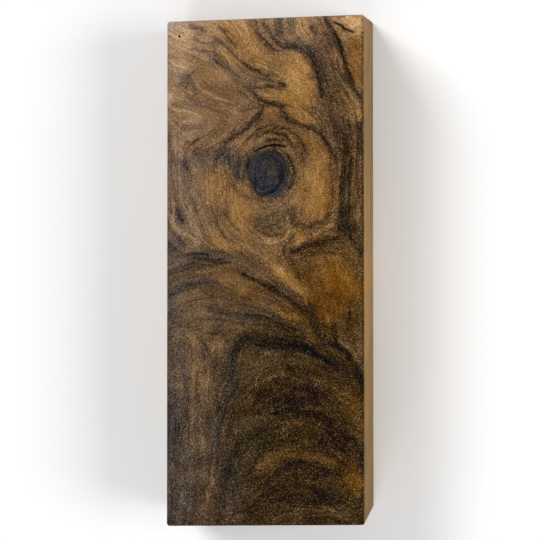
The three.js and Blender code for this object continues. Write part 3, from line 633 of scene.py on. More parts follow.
# The paint follows the wood's waves, and loose paint follows them further: wavelength, shift, loose shift.
WAVES = [(7.0, 0.3, 1.2), (2.6, 0.26, 0.8), (1.1, 0.16, 0.4)]
GROUND_WAVE = (14.0, 2.5)  # wavelength and shift of the wood's own tone
PATCHES = [(3.2, 0.35), (1.3, 0.25)]  # wavelength and strength of the breaks in a streak
CALM_EDGE = (1.35, 0.7)  # where a calm place ends, in its half sizes, and over how much it fades
SHADOW = (0.32, 2.4)  # strength and width of a dark streak's shadow, as parts of the streak's own
STREAK_EDGE = 2.6  # how hard a streak's edge is
THIN_END = 0.45  # a streak's width at its ends, as a part of its full width
FAINT_END = 0.3  # a streak's strength at its ends, as a part of its full strength
SHEAF_POINTS = 14
SHEAF_SHORTEST = 5
SHEAF_STRAY = 0.12  # mm
SHEAF_PATCH = 0.6


def smooth(t):
    """An even step from 0 to 1."""
    t = np.clip(t, 0, 1)
    return t * t * (3 - 2 * t)


NOISE_CELLS = 256
NOISE_START = (97.3, 61.7)


class Noise:
    """Seeded value noise over the plane, smooth, about -1 to 1."""

    def __init__(self, seed):
        self.table = np.random.default_rng(seed).uniform(-1, 1, (NOISE_CELLS, NOISE_CELLS))

    def __call__(self, x, y, wavelength):
        u, v = x / wavelength + NOISE_START[0], y / wavelength + NOISE_START[1]
        i, j = np.floor(u).astype(int), np.floor(v).astype(int)
        a, b = smooth(u - i), smooth(v - j)
        t = self.table
        i, j = i % NOISE_CELLS, j % NOISE_CELLS
        k, m = (i + 1) % NOISE_CELLS, (j + 1) % NOISE_CELLS
        return (t[i, j] * (1 - a) + t[k, j] * a) * (1 - b) + (t[i, m] * (1 - a) + t[k, m] * a) * b


def curve(points, steps=5):
    """A smooth line through given points (Catmull-Rom)."""
    p = np.array(points, float)
    p = np.vstack([2 * p[0] - p[1], p, 2 * p[-1] - p[-2]])
    t = np.linspace(0, 1, steps, endpoint=False)[:, None]
    out = []
    for a, b, c, d in zip(p[:-3], p[1:-2], p[2:-1], p[3:]):
        bend = (2 * a - 5 * b + 4 * c - d) * t ** 2
        twist = (3 * b - a - 3 * c + d) * t ** 3
        out.append(0.5 * (2 * b + (c - a) * t + bend + twist))
    return np.vstack(out + [p[-2:-1]])


def along(points, count):
    """The line resampled at evenly spaced points."""
    p = curve(points)
    s = np.r_[0, np.cumsum(np.linalg.norm(np.diff(p, axis=0), axis=1))]
    at = np.linspace(0, s[-1], count)
    return np.c_[np.interp(at, s, p[:, 0]), np.interp(at, s, p[:, 1])]


def offsets(line, x, y, reach):
    """The points in reach, their distance to the line (positive at its left) and their share of its length."""
    lo, hi = line.min(0) - reach, line.max(0) + reach
    near = np.flatnonzero((x > lo[0]) & (x < hi[0]) & (y > lo[1]) & (y < hi[1]))
    px, py = x[near], y[near]
    best = np.full(near.size, 1e9)
    side = np.ones(near.size)
    share = np.zeros(near.size)
    total = len(line) - 1
    for k in range(total):
        (ax, ay), (bx, by) = line[k], line[k + 1]
        dx, dy = bx - ax, by - ay
        length = dx * dx + dy * dy + 1e-12
        t = np.clip(((px - ax) * dx + (py - ay) * dy) / length, 0, 1)
        ex, ey = px - ax - t * dx, py - ay - t * dy
        d = ex * ex + ey * ey
        closer = d < best
        best[closer] = d[closer]
        side[closer] = np.sign(dx * (py - ay) - dy * (px - ax))[closer]
        share[closer] = ((k + t) / total)[closer]
    return near, np.sqrt(best) * np.where(side == 0, 1, side), share


class Painter:
    """Lays tones over points of the face."""

    def __init__(self, x, y, grit):
        self.wobble = Noise(SEED)
        self.grit = grit
        n = self.wobble
        self.x, self.y, self.loose_x, self.loose_y = x, y, x, y
        for (wavelength, close, loose), start in zip(WAVES, (0, 50, 90)):
            across, upwards = n(x + start, y, wavelength), n(y + 300 + start, x, wavelength)
            self.x, self.y = self.x + close * across, self.y + close * upwards
            self.loose_x, self.loose_y = self.loose_x + loose * across, self.loose_y + loose * upwards
        self.patchy = 0.5
        for (wavelength, strength), start in zip(PATCHES, (20, 60)):
            self.patchy = self.patchy + strength * n(x + start, y + start + 20, wavelength)
        ground_y = self.loose_y + GROUND_WAVE[1] * n(x + 70, y + 10, GROUND_WAVE[0])
        channels = np.array(GROUND).T / 255
        self.colour = np.stack([np.interp(ground_y, GROUND_Y, channel) for channel in channels], 1)
        self.dark = np.zeros(x.size)

    def lay(self, at, mask, tone):
        """Mixes a tone in. Where it covers by half, its edge breaks up along the growth lines."""
        mask = np.clip(mask + mask * (1 - mask) * self.grit[at], 0, 1)
        self.colour[at] += mask[:, None] * (np.array(TONES[tone]) / 255 - self.colour[at])
        if tone in DARK_TONES:
            self.dark[at] = np.maximum(self.dark[at], mask)

    def calm(self):
        """How calm the wood is, 0 to 1."""
        total = np.zeros(self.x.size)
        for oval in CALM:
            total = np.maximum(total, smooth((CALM_EDGE[0] - self.radius(*oval)) / CALM_EDGE[1]))
        return total * (1 - self.dark)

    def radius(self, centre, half, turn=0):
        """How far out each point lies in an oval, which ends at 1."""
        c, s = np.cos(np.radians(turn)), np.sin(np.radians(turn))
        dx, dy = self.loose_x - centre[0], self.loose_y - centre[1]
        return np.hypot((dx * c + dy * s) / half[0], (dy * c - dx * s) / half[1])

    def light(self, amount, centre, half):
        """Adds a little colour round a place, half as much at the half sizes: painted sheen and painted shade,
        and some tone.
        """
        self.colour += np.exp(-np.log(2) * self.radius(centre, half) ** 2)[:, None] * np.array(amount) / 255

    def wash(self, tone, strength, centre, half, turn, edge):
        """Lays a tone over an oval, at half strength where the oval ends."""
        mask = strength * np.exp(-np.log(2) * self.radius(centre, half, turn) ** edge)
        self.lay(slice(None), mask, tone)

    def streak(self, tone, strength, left, right, points, patch=0.3, taper=0.12):
        """A streak with a soft edge. A dark one has a fainter shadow round it."""
        line = curve(points)
        dark = tone in DARK_TONES
        near, d, share = offsets(line, self.x, self.y, max(left, right) * (5 if dark else 3))
        ends = smooth(share / taper) * smooth((1 - share) / taper)
        width = np.where(d > 0, left, right) * (THIN_END + (1 - THIN_END) * ends)
        fade = strength * (FAINT_END + (1 - FAINT_END) * ends) * (1 - patch * self.patchy[near])
        if dark:
            self.lay(near, SHADOW[0] * fade * np.exp(-(np.abs(d) / width / SHADOW[1]) ** 2), tone)
        self.lay(near, fade * np.exp(-(np.abs(d) / width) ** STREAK_EDGE), tone)

    def sheaf(self, tone, strength, width, count, first, last, seed):
        """Streaks of uneven strength, width and length between two guides."""
        rng = np.random.default_rng(seed)
        a, b = along(first, SHEAF_POINTS), along(last, SHEAF_POINTS)
        for k in range(count):
            share = (k + rng.uniform(0.1, 0.9)) / count
            line = a + (b - a) * share + rng.normal(0, SHEAF_STRAY, a.shape)
            start, stop = sorted(rng.integers(0, SHEAF_POINTS, 2))
            if stop - start < SHEAF_SHORTEST:
                start, stop = 0, SHEAF_POINTS - 1
            force = min(strength * rng.uniform(0.4, 1.3), 1)
            left = width * rng.uniform(0.6, 1.7)
            right = left * rng.uniform(0.8, 2.6)
            self.streak(tone, force, left, right, line[start:stop + 1], patch=SHEAF_PATCH)

    def knot(self):
        """A dark oval with a blue-black middle and foot, a brown heart and a line of bark at its right."""
        turn = np.radians(KNOT["turn"])
        dx, dy = self.x - KNOT["centre"][0], self.y - KNOT["centre"][1]
        u = (dx * np.cos(turn) + dy * np.sin(turn)) / KNOT["half"][0]
        v = (dy * np.cos(turn) - dx * np.sin(turn)) / KNOT["half"][1]
        r = np.hypot(u, v) + KNOT_WAVE * self.wobble(self.x, self.y, 2.0)
        self.core = smooth((KNOT_CORE[0] - r) / KNOT_CORE[1])
        tone, strength, radius, spread = KNOT_RIM
        self.lay(slice(None), strength * np.exp(-((r - radius) / spread) ** 2), tone)
        tone, strength, radius, spread = KNOT_OVAL
        self.lay(slice(None), strength * smooth((radius - r) / spread), tone)
        tone, strength, radius, spread = KNOT_MIDDLE
        self.lay(slice(None), strength * np.exp(-((r - radius) / spread) ** 2), tone)
        for tone, strength, place, half in KNOT_SPOTS:
            away = np.hypot((dx - place[0]) / half[0], (dy - place[1]) / half[1])
            self.lay(slice(None), strength * np.exp(-away ** 2), tone)
        self.streak("bark", 0.75, 0.9, 0.3, BARK_LINE, patch=0.2)
        self.streak("ink", 0.8, 0.25, 0.25, BARK_LINE, patch=0.1)


def figure(x, y, grit):
    """The painted colour (sRGB 0 to 1) at points of the face, and how calm, stained and knotty they are."""
    p = Painter(x, y, grit)
    for wash in WASHES:
        p.wash(*wash)
    for i, sheaf in enumerate(SHEAVES):
        p.sheaf(*sheaf, seed=SEED + i)
    for streak in STREAKS:
        p.streak(*streak)
    p.knot()
    # The painted sheen and painted shade, with some tone, go on last.
    for light in PAINTED_LIGHT_AND_TONE:
        p.light(*light)
    return np.clip(p.colour, 0, 1), p.calm(), p.dark, p.core
# The tables over the face: their reach, and the step of a fine and of a coarse one.
X0, X1, Y0, Y1 = -27.0, 27.0, -67.0, 67.0
FINE_STEP = 0.2
COARSE_STEP = 1.0
LINE_PULL = 1.5  # how softly the direction at a place follows the nearest lines, in mm squared
FIELD_BLUR = 0.8  # coarse steps
LEVELLING = 2.0  # mm, the blur whose result is taken off the smeared noise


def blur(a, sigma):
    """Gaussian blur by separable convolution."""
    if sigma <= 0:
        return a
    reach = int(3 * sigma + 1)
    kernel = np.exp(-0.5 * (np.arange(-reach, reach + 1) / sigma) ** 2)
    kernel /= kernel.sum()
    for axis in (0, 1):
        pad = [(0, 0), (0, 0)]
        pad[axis] = (reach, reach)
        b = np.pad(a, pad, mode="reflect")
        a = sum(w * np.take(b, range(i, i + a.shape[axis]), axis) for i, w in enumerate(kernel))
    return a


def sample(table, x, y, step):
    """Bilinear reading of a table over the face."""
    u = np.clip((x - X0) / step, 0, table.shape[1] - 1.001)
    v = np.clip((y - Y0) / step, 0, table.shape[0] - 1.001)
    i, j = u.astype(int), v.astype(int)
    a, b = u - i, v - j
    return ((table[j, i] * (1 - a) + table[j, i + 1] * a) * (1 - b)
            + (table[j + 1, i] * (1 - a) + table[j + 1, i + 1] * a) * b)


def table_places(step):
    """The places of a table's values."""
    return np.meshgrid(np.arange(X0, X1 + step, step), np.arange(Y0, Y1 + step, step))


def directions():
    """The cosine and the sine of the doubled angle of the growth lines, as two tables."""
    gx, gy = table_places(COARSE_STEP)
    c2 = np.full(gx.shape, -0.004)
    s2 = np.zeros(gx.shape)
    lines = [along(s[4], max(6, 3 * len(s[4]))) for s in STREAKS if len(s[4]) > 2]
    for sheaf in SHEAVES:
        a, b = along(sheaf[4], 16), along(sheaf[5], 16)
        lines += [a + (b - a) * t for t in (0, 0.33, 0.67, 1)]
    turn = np.linspace(0, 2 * np.pi, 40)
    for grow in (0.5, 0.8, 1.1, 1.4):
        lines.append(np.c_[KNOT["centre"][0] + grow * KNOT["half"][0] * np.cos(turn),
                           KNOT["centre"][1] + grow * KNOT["half"][1] * np.sin(turn)])
    for line in lines:
        for (ax, ay), (bx, by) in zip(line[:-1], line[1:]):
            dx, dy = bx - ax, by - ay
            length = np.hypot(dx, dy)
            if length < 1e-6:
                continue
            w = length / ((gx - (ax + bx) / 2) ** 2 + (gy - (ay + by) / 2) ** 2 + LINE_PULL) ** 2
            c2 += w * (dx * dx - dy * dy) / length ** 2
            s2 += w * 2 * dx * dy / length ** 2
    size = np.hypot(c2, s2) + 1e-9
    return blur(c2 / size, FIELD_BLUR), blur(s2 / size, FIELD_BLUR)


def streaked(field, width, reach, seed):
    """Noise smeared along the growth lines: about width mm across the lines and reach mm along them."""
    c2, s2 = field
    gx, gy = table_places(FINE_STEP)
    noise = blur(np.random.default_rng(seed).normal(0, 1, gx.shape), width / FINE_STEP / 2.5)
    total = sample(noise, gx, gy, FINE_STEP)
    hop = max(FINE_STEP, width * 0.6)
    for sign in (-1, 1):
        x, y = gx.copy(), gy.copy()
        px, py = np.zeros(gx.shape), np.zeros(gx.shape)
        first = True
        for k in range(int(reach / hop)):
            angle = 0.5 * np.arctan2(sample(s2, x, y, COARSE_STEP), sample(c2, x, y, COARSE_STEP))
            dx, dy = np.cos(angle), np.sin(angle)
            if first:
                flip = np.full(gx.shape, float(sign))
                first = False
            else:
                flip = np.where(dx * px + dy * py < 0, -1.0, 1.0)
            px, py = dx * flip, dy * flip
            x, y = x + px * hop, y + py * hop
            w = 0.5 + 0.5 * np.cos(np.pi * (k + 1) * hop / reach)
            total = total + w * sample(noise, x, y, FINE_STEP)
    total -= blur(total, LEVELLING / FINE_STEP)
    return total / total.std()


def face_corners(inset=0.0):
    """The outline's four corners, counter-clockwise from the foot's left, drawn in by inset."""
    half = LENGTH / 2
    corners = np.array([
        (-FOOT_WIDTH / 2, -half - FOOT_RUN_OUT / 2),
        (FOOT_WIDTH / 2, -half + FOOT_RUN_OUT / 2),
        (HEAD_WIDTH / 2, half + HEAD_RUN_OUT / 2),
        (-HEAD_WIDTH / 2, half - HEAD_RUN_OUT / 2),
    ])
    corners[:, 1] -= (HEAD_RUN_OUT - FOOT_RUN_OUT) / 4
    way = np.roll(corners, -1, 0) - corners
    way /= np.linalg.norm(way, axis=1)[:, None]
    inward = np.c_[-way[:, 1], way[:, 0]]
    moves = [np.linalg.solve([inward[i - 1], inward[i]], [inset, inset]) for i in range(len(corners))]
    return corners + moves


def ring(inset, across, along):
    """Points round the outline with its round corners, drawn in by inset, with so many cells each way."""
    corners = face_corners(inset)
    stretches = []
    for i, cells in enumerate((across, along, across, along)):
        share = np.arange(cells)[:, None] / cells
        stretches.append(corners[i] + (corners[(i + 1) % 4] - corners[i]) * share)
    points = np.vstack(stretches)
    radius = CORNER_RADIUS - inset
    for centre, corner in zip(face_corners(inset + radius), corners):
        away = points - centre
        reach = np.linalg.norm(away, axis=1)
        outer = (np.abs(points - corner).max(1) < radius * 1.02) & (reach > radius)
        points[outer] = centre + away[outer] * (radius / reach[outer])[:, None]
    return points


class Shell:
    """A closed mesh put together from grids and rings of points."""

    def __init__(self):
        self.points = []
        self.faces = []

    def add(self, places, z):
        start = len(self.points)
        self.points.extend((x, y, z) for x, y in places)
        return list(range(start, len(self.points)))

    def broad_face(self, across, along, z):
        """A whole broad face. Gives the numbers of its border's points in a ring's order."""
        corners = face_corners(EDGE_RADIUS)
        u, v = np.meshgrid(np.arange(across + 1) / across, np.arange(along + 1) / along)
        u, v = u[..., None], v[..., None]
        foot = corners[0] * (1 - u) + corners[1] * u
        head = corners[3] * (1 - u) + corners[2] * u
        grid = foot * (1 - v) + head * v
        border = ([(0, i) for i in range(across)] + [(j, across) for j in range(along)]
                  + [(along, i) for i in range(across, 0, -1)] + [(j, 0) for j in range(along, 0, -1)])
        rows, columns = np.array(border).T
        grid[rows, columns] = ring(EDGE_RADIUS, across, along)
        numbers = np.array(self.add(grid.reshape(-1, 2), z)).reshape(along + 1, across + 1)
        quads = np.stack([numbers[:-1, :-1], numbers[:-1, 1:], numbers[1:, 1:], numbers[1:, :-1]], -1)
        self.faces.extend(quads.reshape(-1, 4).tolist())
        return numbers[rows, columns].tolist()

    def wall(self, above, below):
        """Joins two rings of as many points."""
        total = len(above)
        for i in range(total):
            k = (i + 1) % total
            self.faces.append((above[i], below[i], below[k], above[k]))

    def halving_wall(self, above, below):
        """Joins a ring to one below it that has half as many points."""
        total = len(below)
        for i in range(total):
            k = (i + 1) % total
            left, middle, right = above[2 * i], above[2 * i + 1], above[(2 * i + 2) % len(above)]
            self.faces.append((left, below[i], middle))
            self.faces.append((middle, below[i], below[k]))
            self.faces.append((middle, below[k], right))


def blank_shell():
    """The whole blank with its eased edges: fine cells on the figured face, twice as long elsewhere."""
    shell = Shell()
    half_across, half_along = CELLS_ACROSS // 2, CELLS_ALONG // 2
    bend = np.radians(90) * np.arange(1, EDGE_STEPS + 1) / EDGE_STEPS
    insets = EDGE_RADIUS * (1 - np.sin(bend))
    drops = EDGE_RADIUS * (1 - np.cos(bend))
    last = shell.broad_face(CELLS_ACROSS, CELLS_ALONG, THICKNESS)
    for inset, drop in zip(insets, drops):
        lower = shell.add(ring(inset, CELLS_ACROSS, CELLS_ALONG), THICKNESS - drop)
        shell.wall(last, lower)
        last = lower
    heights = np.linspace(THICKNESS - EDGE_RADIUS, EDGE_RADIUS, SIDE_ROWS + 1)[1:]
    for row, z in enumerate(heights):
        lower = shell.add(ring(0, half_across, half_along), z)
        join = shell.halving_wall if row == 0 else shell.wall
        join(last, lower)
        last = lower
    for inset, rise in zip(insets[-2::-1], drops[-2::-1]):
        lower = shell.add(ring(inset, half_across, half_along), rise)
        shell.wall(last, lower)
        last = lower
    shell.wall(last, shell.broad_face(half_across, half_along, 0))
    return shell


def mesh_object(name, points, faces):
    """An object in the scene with this mesh, its faces turned outwards."""
    mesh = bpy.data.meshes.new(name)
    mesh.from_pydata([Vector(p) * MM for p in points], [], faces)
    work = bmesh.new()
    work.from_mesh(mesh)
    bmesh.ops.recalc_face_normals(work, faces=work.faces)
    work.to_mesh(mesh)
    work.free()
    made = bpy.data.objects.new(name, mesh)
    bpy.context.collection.objects.link(made)
    return made


def check_cutter(line, half_widths, depth):
    """A crack that narrows towards its floor, with a ragged mouth."""
    centre = curve(line, CHECK_STEPS)
    total = len(centre)
    spread = np.interp(np.linspace(0, 1, total), np.linspace(0, 1, len(half_widths)), half_widths)
    draw = np.random.default_rng(SEED)
    way = np.gradient(centre, axis=0)
    way /= np.linalg.norm(way, axis=1)[:, None]
    across = np.c_[-way[:, 1], way[:, 0]]
    ragged = spread[:, None] * (1 + draw.uniform(-CHECK_RAGGED, CHECK_RAGGED, (total, 2)))
    left = (centre + across * ragged[:, :1])[1:-1]
    right = (centre - across * ragged[:, 1:])[1:-1]
    mouth = np.vstack([centre[:1], right, centre[-1:], left[::-1]])
    middle = np.vstack([centre[:1], centre[1:-1], centre[-1:], centre[1:-1][::-1]])
    points = []
    for z, share in ((THICKNESS + CUT_ABOVE, CHECK_TOP_SHARE), (THICKNESS - depth, CHECK_FLOOR_SHARE)):
        points += [(x, y, z) for x, y in middle + (mouth - middle) * share]
    count = len(mouth)
    faces = [(i, (i + 1) % count, count + (i + 1) % count, count + i) for i in range(count)]
    last = len(centre) - 1
    for base in (0, count):
        faces.append((base, base + 1, base + count - 1))
        for i in range(1, last - 1):
            faces.append((base + i, base + i + 1, base + count - i - 1, base + count - i))
        faces.append((base + last - 1, base + last, base + last + 1))
    return mesh_object("check_cutter", points, faces)


def pin_hole_cutter(x, y, radius, depth, sides):
    """A cone, point down, with the hole's radius where it passes the face."""
    top = radius * (depth + CUT_ABOVE) / depth
    turn = 2 * np.pi * np.arange(sides) / sides
    rim = [(x + top * np.cos(a), y + top * np.sin(a), THICKNESS + CUT_ABOVE) for a in turn]
    faces = [(i, (i + 1) % sides, sides) for i in range(sides)]
    faces.append(tuple(range(sides)))
    return mesh_object("pin_hole_cutter", rim + [(x, y, THICKNESS - depth)], faces)


def cut(piece, cutter):
    """Takes the cutter's room out of the piece."""
    modifier = piece.modifiers.new("cut", "BOOLEAN")
    modifier.operation = "DIFFERENCE"
    modifier.solver = "MANIFOLD"
    modifier.object = cutter
    evaluated = piece.evaluated_get(bpy.context.evaluated_depsgraph_get())
    mesh = bpy.data.meshes.new_from_object(evaluated)
    piece.modifiers.remove(modifier)
    old = piece.data
    piece.data = mesh
    bpy.data.meshes.remove(old)
    bpy.data.meshes.remove(cutter.data)


def inside_by(x, y):
    """How far each place lies inside each of the outline's sides: foot, right, head, left."""
    corners = face_corners()
    way = np.roll(corners, -1, 0) - corners
    way /= np.linalg.norm(way, axis=1)[:, None]
    return np.array([w[0] * (y - c[1]) - w[1] * (x - c[0]) for c, w in zip(corners, way)])


# The growth leans with depth and draws in towards the middle: what the back and the sides show is the
# figure of the face carried through the block.
DRAW_IN = 8.0
DRAW_IN_ALONG = 9.0
LEAN = (2.0, -5.0)
DEEP_WAVE = (18.0, 2.2)  # wavelength and shift, at the back

# The sawn sides are paler than the face: their tones (sRGB), and how far each hides the figure.
SAWN = {
    "foot": ((138, 106, 68), 0.6),
    "right": ((165, 130, 80), 0.84),
    "head": ((146, 114, 76), 0.6),
    "left": ((142, 111, 73), 0.6),
}

SAWN_FROM = 0.5  # how far in from a side the sawn tone starts, as a part of the edge radius
SAWN_BLEND = 0.8  # mm over which two sides' tones mix at a corner
SAWN_BAND = (2.6, 0.06)  # wavelength and strength of the paler and darker bands
SAWN_LINE = (0.9, 0.05)
SAWN_HUE = (4.0, 0.06)
SAWN_LIGHT_POOL = (32, 0.155)  # reach along the block and strength of the brighter middle, a painted pool of light on the long sides
FACE_ROUND = 0.4  # how far from the broad faces an upright corner starts to be sawn, in edge radii
RIGHT_EDGE_SHADE = (0.3, 0.3, 0.3)  # painted shade: the dark line by the right edge: how far in, how wide, how strong
BACK_REACH = 0.6  # mm
BACK_LIFT = 0.1
BACK_SAWN = 0.6  # how much the back looks like a sawn side

# The fine streaks along the growth lines: strength (of 255), width across, reach along.
GRAIN = [(2.5, 0.35, 6), (5.0, 0.6, 12), (4.5, 1.3, 12)]
GRAIN_TINT = (1.0, 0.86, 0.66)
CALM_GRAIN = 0.45
LIVELY = ([-64, -20, 10, 64], [0.5, 0.6, 0.8, 0.9])  # how strong the streaks are at heights along the face
MOTTLE = 0.045
MOTTLE_WAVES = (4.5, 2.0)
GRAIN_WAVES = [(6.0, 0.7), (2.4, 0.35)]  # wavelength and shift of the grain's own waves
GRIT = (0.32, 0.5, 5.0)  # what breaks up the paint's edges: strength, width across, reach along
RINGS = (1.0, 14)  # what the shader draws its fine lines from: width across, reach along
FIGURE_TONE = 0.78  # the block stands in more than full light, so that the pale floor looks white
LEAST_COLOUR = 0.0005
# Where the speckle is warm: in the dark tones, and most at the right.
WARM_LEFT = 0.45
WARM_FROM = (-10, 12)
WARM_DARK = (1.25, 0.35)
# How strong the speckle is: at the head's left, and how much more at the right and at the foot.
SANDY = 0.85
SANDY_RIGHT = 0.25
SANDY_FOOT = 0.2
KNOT_LESS_SANDY = 0.45
CALM_LESS_SANDY = 0.2
CHECK_SHADE = 0.85  # how much darker the face is right at a check: painted shade at its mouth
CHECK_SHADE_WIDTH = (0.24, 0.12, 0.9)  # mm: its width, how much that varies, and the wavelength of this
HAZE = 0.004  # what the sheen and the speckle add to the figure

# The fine marks in the shader, as parts of full brightness in sRGB. Sizes are in millimetres.
SPECKLE = 0.24
SPECKLE_SIZE = 0.16
COARSE_SPECKLE = 0.02
COARSE_SIZE = 0.55
FLECK = 0.09
FLECK_SIZE = 0.31
FLECK_FROM = 0.93  # the share of grains without a fleck
LINES = [(0.28, 2.6), (0.22, 1.0)]  # strength, and how many to a step of the rings
RING_WANDER = (3.0, 0.4)
FIBRE = 0.22
FIBRE_SIZE = (0.35, 6.0, 0.35)
# How much less of the speckle, and how much of the lines, each channel gets: red, green, blue.
CHANNELS = ((0.0, 1.0), (0.1, 0.86), (0.36, 0.7))
DARKEST = 0.03
DISPLAY_GAMMA = 2.2
# The walls of the checks and the pin hole: near black, darker than the wood: painted shade in the narrow cuts.
CHECK_SHADE_COLOUR = (0.004, 0.003, 0.002, 1)
WORN_SIZE = (9, 14, 9)
ROUGHNESS = (0.34, 0.42)
SAWN_ROUGHER = 0.4
SPECULAR = 0.08


def carried(x, y, z):
    """The place on the face whose figure shows at a place in the block."""
    depth = 1 - z / THICKNESS
    drift = Noise(SEED + 50)
    half_width = (HEAD_WIDTH + FOOT_WIDTH) / 4
    u = np.clip(x / half_width, -1, 1)
    v = np.clip(y / (LENGTH / 2), -1, 1)
    wavelength, bend = DEEP_WAVE[0], DEEP_WAVE[1] * depth
    inner_x = x - DRAW_IN * depth * u ** 3 + LEAN[0] * depth + bend * drift(x, y, wavelength)
    inner_y = y - DRAW_IN_ALONG * depth * v ** 3 + LEAN[1] * depth + bend * drift(y + 200, x, wavelength)
    return inner_x, inner_y


def linear(srgb):
    srgb = np.clip(srgb, 0, 1)
    return np.where(srgb <= 0.04045, srgb / 12.92, ((srgb + 0.055) / 1.055) ** 2.4)


def read(items, name):
    """A vector of each of a mesh's items, as rows."""
    values = np.empty(len(items) * 3)
    items.foreach_get(name, values)
    return values.reshape(-1, 3)


def sawn_sides(x, y, z, inside):
    """The colour of the sawn sides, and how far it hides the figure."""
    nearness = np.exp(-inside / SAWN_BLEND)
    nearness /= nearness.sum(0)
    pale = sum(near[:, None] * np.array(tone) / 255 for near, (tone, _) in zip(nearness, SAWN.values()))
    hidden = sum(near * hides for near, (_, hides) in zip(nearness, SAWN.values()))
    bands = SAWN_BAND[1] * Noise(SEED + 60)(x + 3 * z, y * 0.06, SAWN_BAND[0])
    bands = bands + SAWN_LINE[1] * Noise(SEED + 61)(z, y * 0.05 + x, SAWN_LINE[0])
    # The bands are the wood's own; the brighter middle is painted light.
    bright = 1 + bands + SAWN_LIGHT_POOL[1] * np.exp(-(y / SAWN_LIGHT_POOL[0]) ** 2)
    hue = SAWN_HUE[1] * Noise(SEED + 62)(x + z, y * 0.3, SAWN_HUE[0])
    return pale * np.stack([bright + hue, bright, bright - hue], 1), hidden


def dress(piece):
    """Stores the figure and the finish at each point of the mesh."""
    """Stores the colour of every point, and what the shader's fine marks need, with the mesh."""
    mesh = piece.data
    x, y, z = read(mesh.vertices, "co").T / MM
    inner_x, inner_y = carried(x, y, z)
    field = directions()
    grit = GRIT[0] * sample(streaked(field, GRIT[1], GRIT[2], seed=SEED + 69), inner_x, inner_y, FINE_STEP)
    colour, calm, dark, core = figure(inner_x, inner_y, grit)
    lively = np.interp(inner_y, *LIVELY) * (1 - (1 - CALM_GRAIN) * calm)
    drift = Noise(SEED + 51)
    (long_wave, long_shift), (short_wave, short_shift) = GRAIN_WAVES
    wavy_x = inner_x + long_shift * drift(inner_x, inner_y, long_wave)
    wavy_x = wavy_x + short_shift * drift(inner_y, inner_x, short_wave)
    wavy_y = inner_y + long_shift * drift(inner_x + 90, inner_y, long_wave)
    wavy_y = wavy_y + short_shift * drift(inner_y + 90, inner_x, short_wave)
    grain = np.zeros(x.size)
    for i, (strength, width, reach) in enumerate(GRAIN):
        smeared = streaked(field, width, reach, seed=SEED + 70 + i)
        grain += strength / 255 * sample(smeared, wavy_x, wavy_y, FINE_STEP)
    mottle = drift(wavy_x + 40, wavy_y, MOTTLE_WAVES[0]) + drift(wavy_y + 40, wavy_x, MOTTLE_WAVES[1])
    mottle = MOTTLE * mottle * (1.3 - lively)
    colour = colour + (grain * lively + mottle)[:, None] * GRAIN_TINT
    rings = sample(streaked(field, RINGS[0], RINGS[1], seed=SEED + 80), wavy_x, wavy_y, FINE_STEP)
    inside = inside_by(x, y)
    at_side = smooth(1 - inside.min(0) / (SAWN_FROM * EDGE_RADIUS))
    from_faces = np.minimum(z, THICKNESS - z) / EDGE_RADIUS
    on_corner = smooth((from_faces - FACE_ROUND) / FACE_ROUND) * (inside.min(0) < CORNER_RADIUS)
    at_side = np.maximum(at_side, on_corner)
    sides, hidden = sawn_sides(x, y, z, inside)
    cover = at_side * hidden
    colour = colour * (1 - cover)[:, None] + sides * cover[:, None]
    # Painted shade along each check: at its mouth on the face and on its walls.
    width, varies, wavelength = CHECK_SHADE_WIDTH
    for check in (KNOT_CHECK, CORNER_CHECK):
        near, distance, _ = offsets(np.array(check["line"], float), x, y, 1.0)
        ragged = width + varies * drift(x[near], y[near], wavelength)
        upper = smooth(2 * z[near] / THICKNESS - 0.5)
        colour[near] *= (1 - CHECK_SHADE * upper * np.exp(-((distance / ragged) ** 2)))[:, None]
    # Painted shade: a dark line along the face's right edge, on its rounding.
    place, width, strength = RIGHT_EDGE_SHADE
    right_edge_shade = np.exp(-(((inside[1] - place) / width) ** 2)) * smooth((z - THICKNESS) / EDGE_RADIUS + 1)
    colour = colour * (1 - strength * right_edge_shade)[:, None]
    back = smooth(1 - z / BACK_REACH) * (1 - at_side)
    colour = colour * (1 + BACK_LIFT * back)[:, None]
    rgba = np.ones((x.size, 4))
    rgba[:, :3] = np.maximum(linear(colour) * FIGURE_TONE - HAZE, LEAST_COLOUR)
    store(mesh, "figure", "FLOAT_COLOR", rgba)
    store(mesh, "sawn", "FLOAT", np.maximum(at_side, BACK_SAWN * back))
    store(mesh, "stain", "FLOAT", dark * (1 - at_side) * (1 - core))
    store(mesh, "rings", "FLOAT", rings)
    rightwards = WARM_LEFT + (1 - WARM_LEFT) * smooth((inner_x - WARM_FROM[0]) / WARM_FROM[1])
    warm = np.clip(WARM_DARK[0] - colour[:, 0] / WARM_DARK[1], 0, 1) * (1 - core) * rightwards
    store(mesh, "warm", "FLOAT", warm)
    store(mesh, "lively", "FLOAT", lively * (1 - at_side))
    sandy = SANDY + SANDY_RIGHT * smooth((inner_x + 15) / 20) + SANDY_FOOT * smooth(-inner_y / 30)
    store(mesh, "sandy", "FLOAT", sandy * (1 - KNOT_LESS_SANDY * core) * (1 - CALM_LESS_SANDY * calm))
    walls = cut_walls(read(mesh.polygons, "center") / MM, 0.02)
    store(mesh, "check", "FLOAT", walls.astype(float), domain="FACE")


def cut_walls(centres, below):
    """Which faces are walls of the checks and the pin hole: inside the block, and so far below its face."""
    x, y, z = centres.T
    return (inside_by(x, y).min(0) > 2 * EDGE_RADIUS) & (z < THICKNESS - below) & (z > 1)


def store(mesh, name, kind, values, domain="POINT"):
    """Keeps a value for each point or face with the mesh."""
    attribute = mesh.attributes.new(name, kind, domain)
    field = "color" if kind == "FLOAT_COLOR" else "value"
    attribute.data.foreach_set(field, np.ravel(values).astype(np.float32))


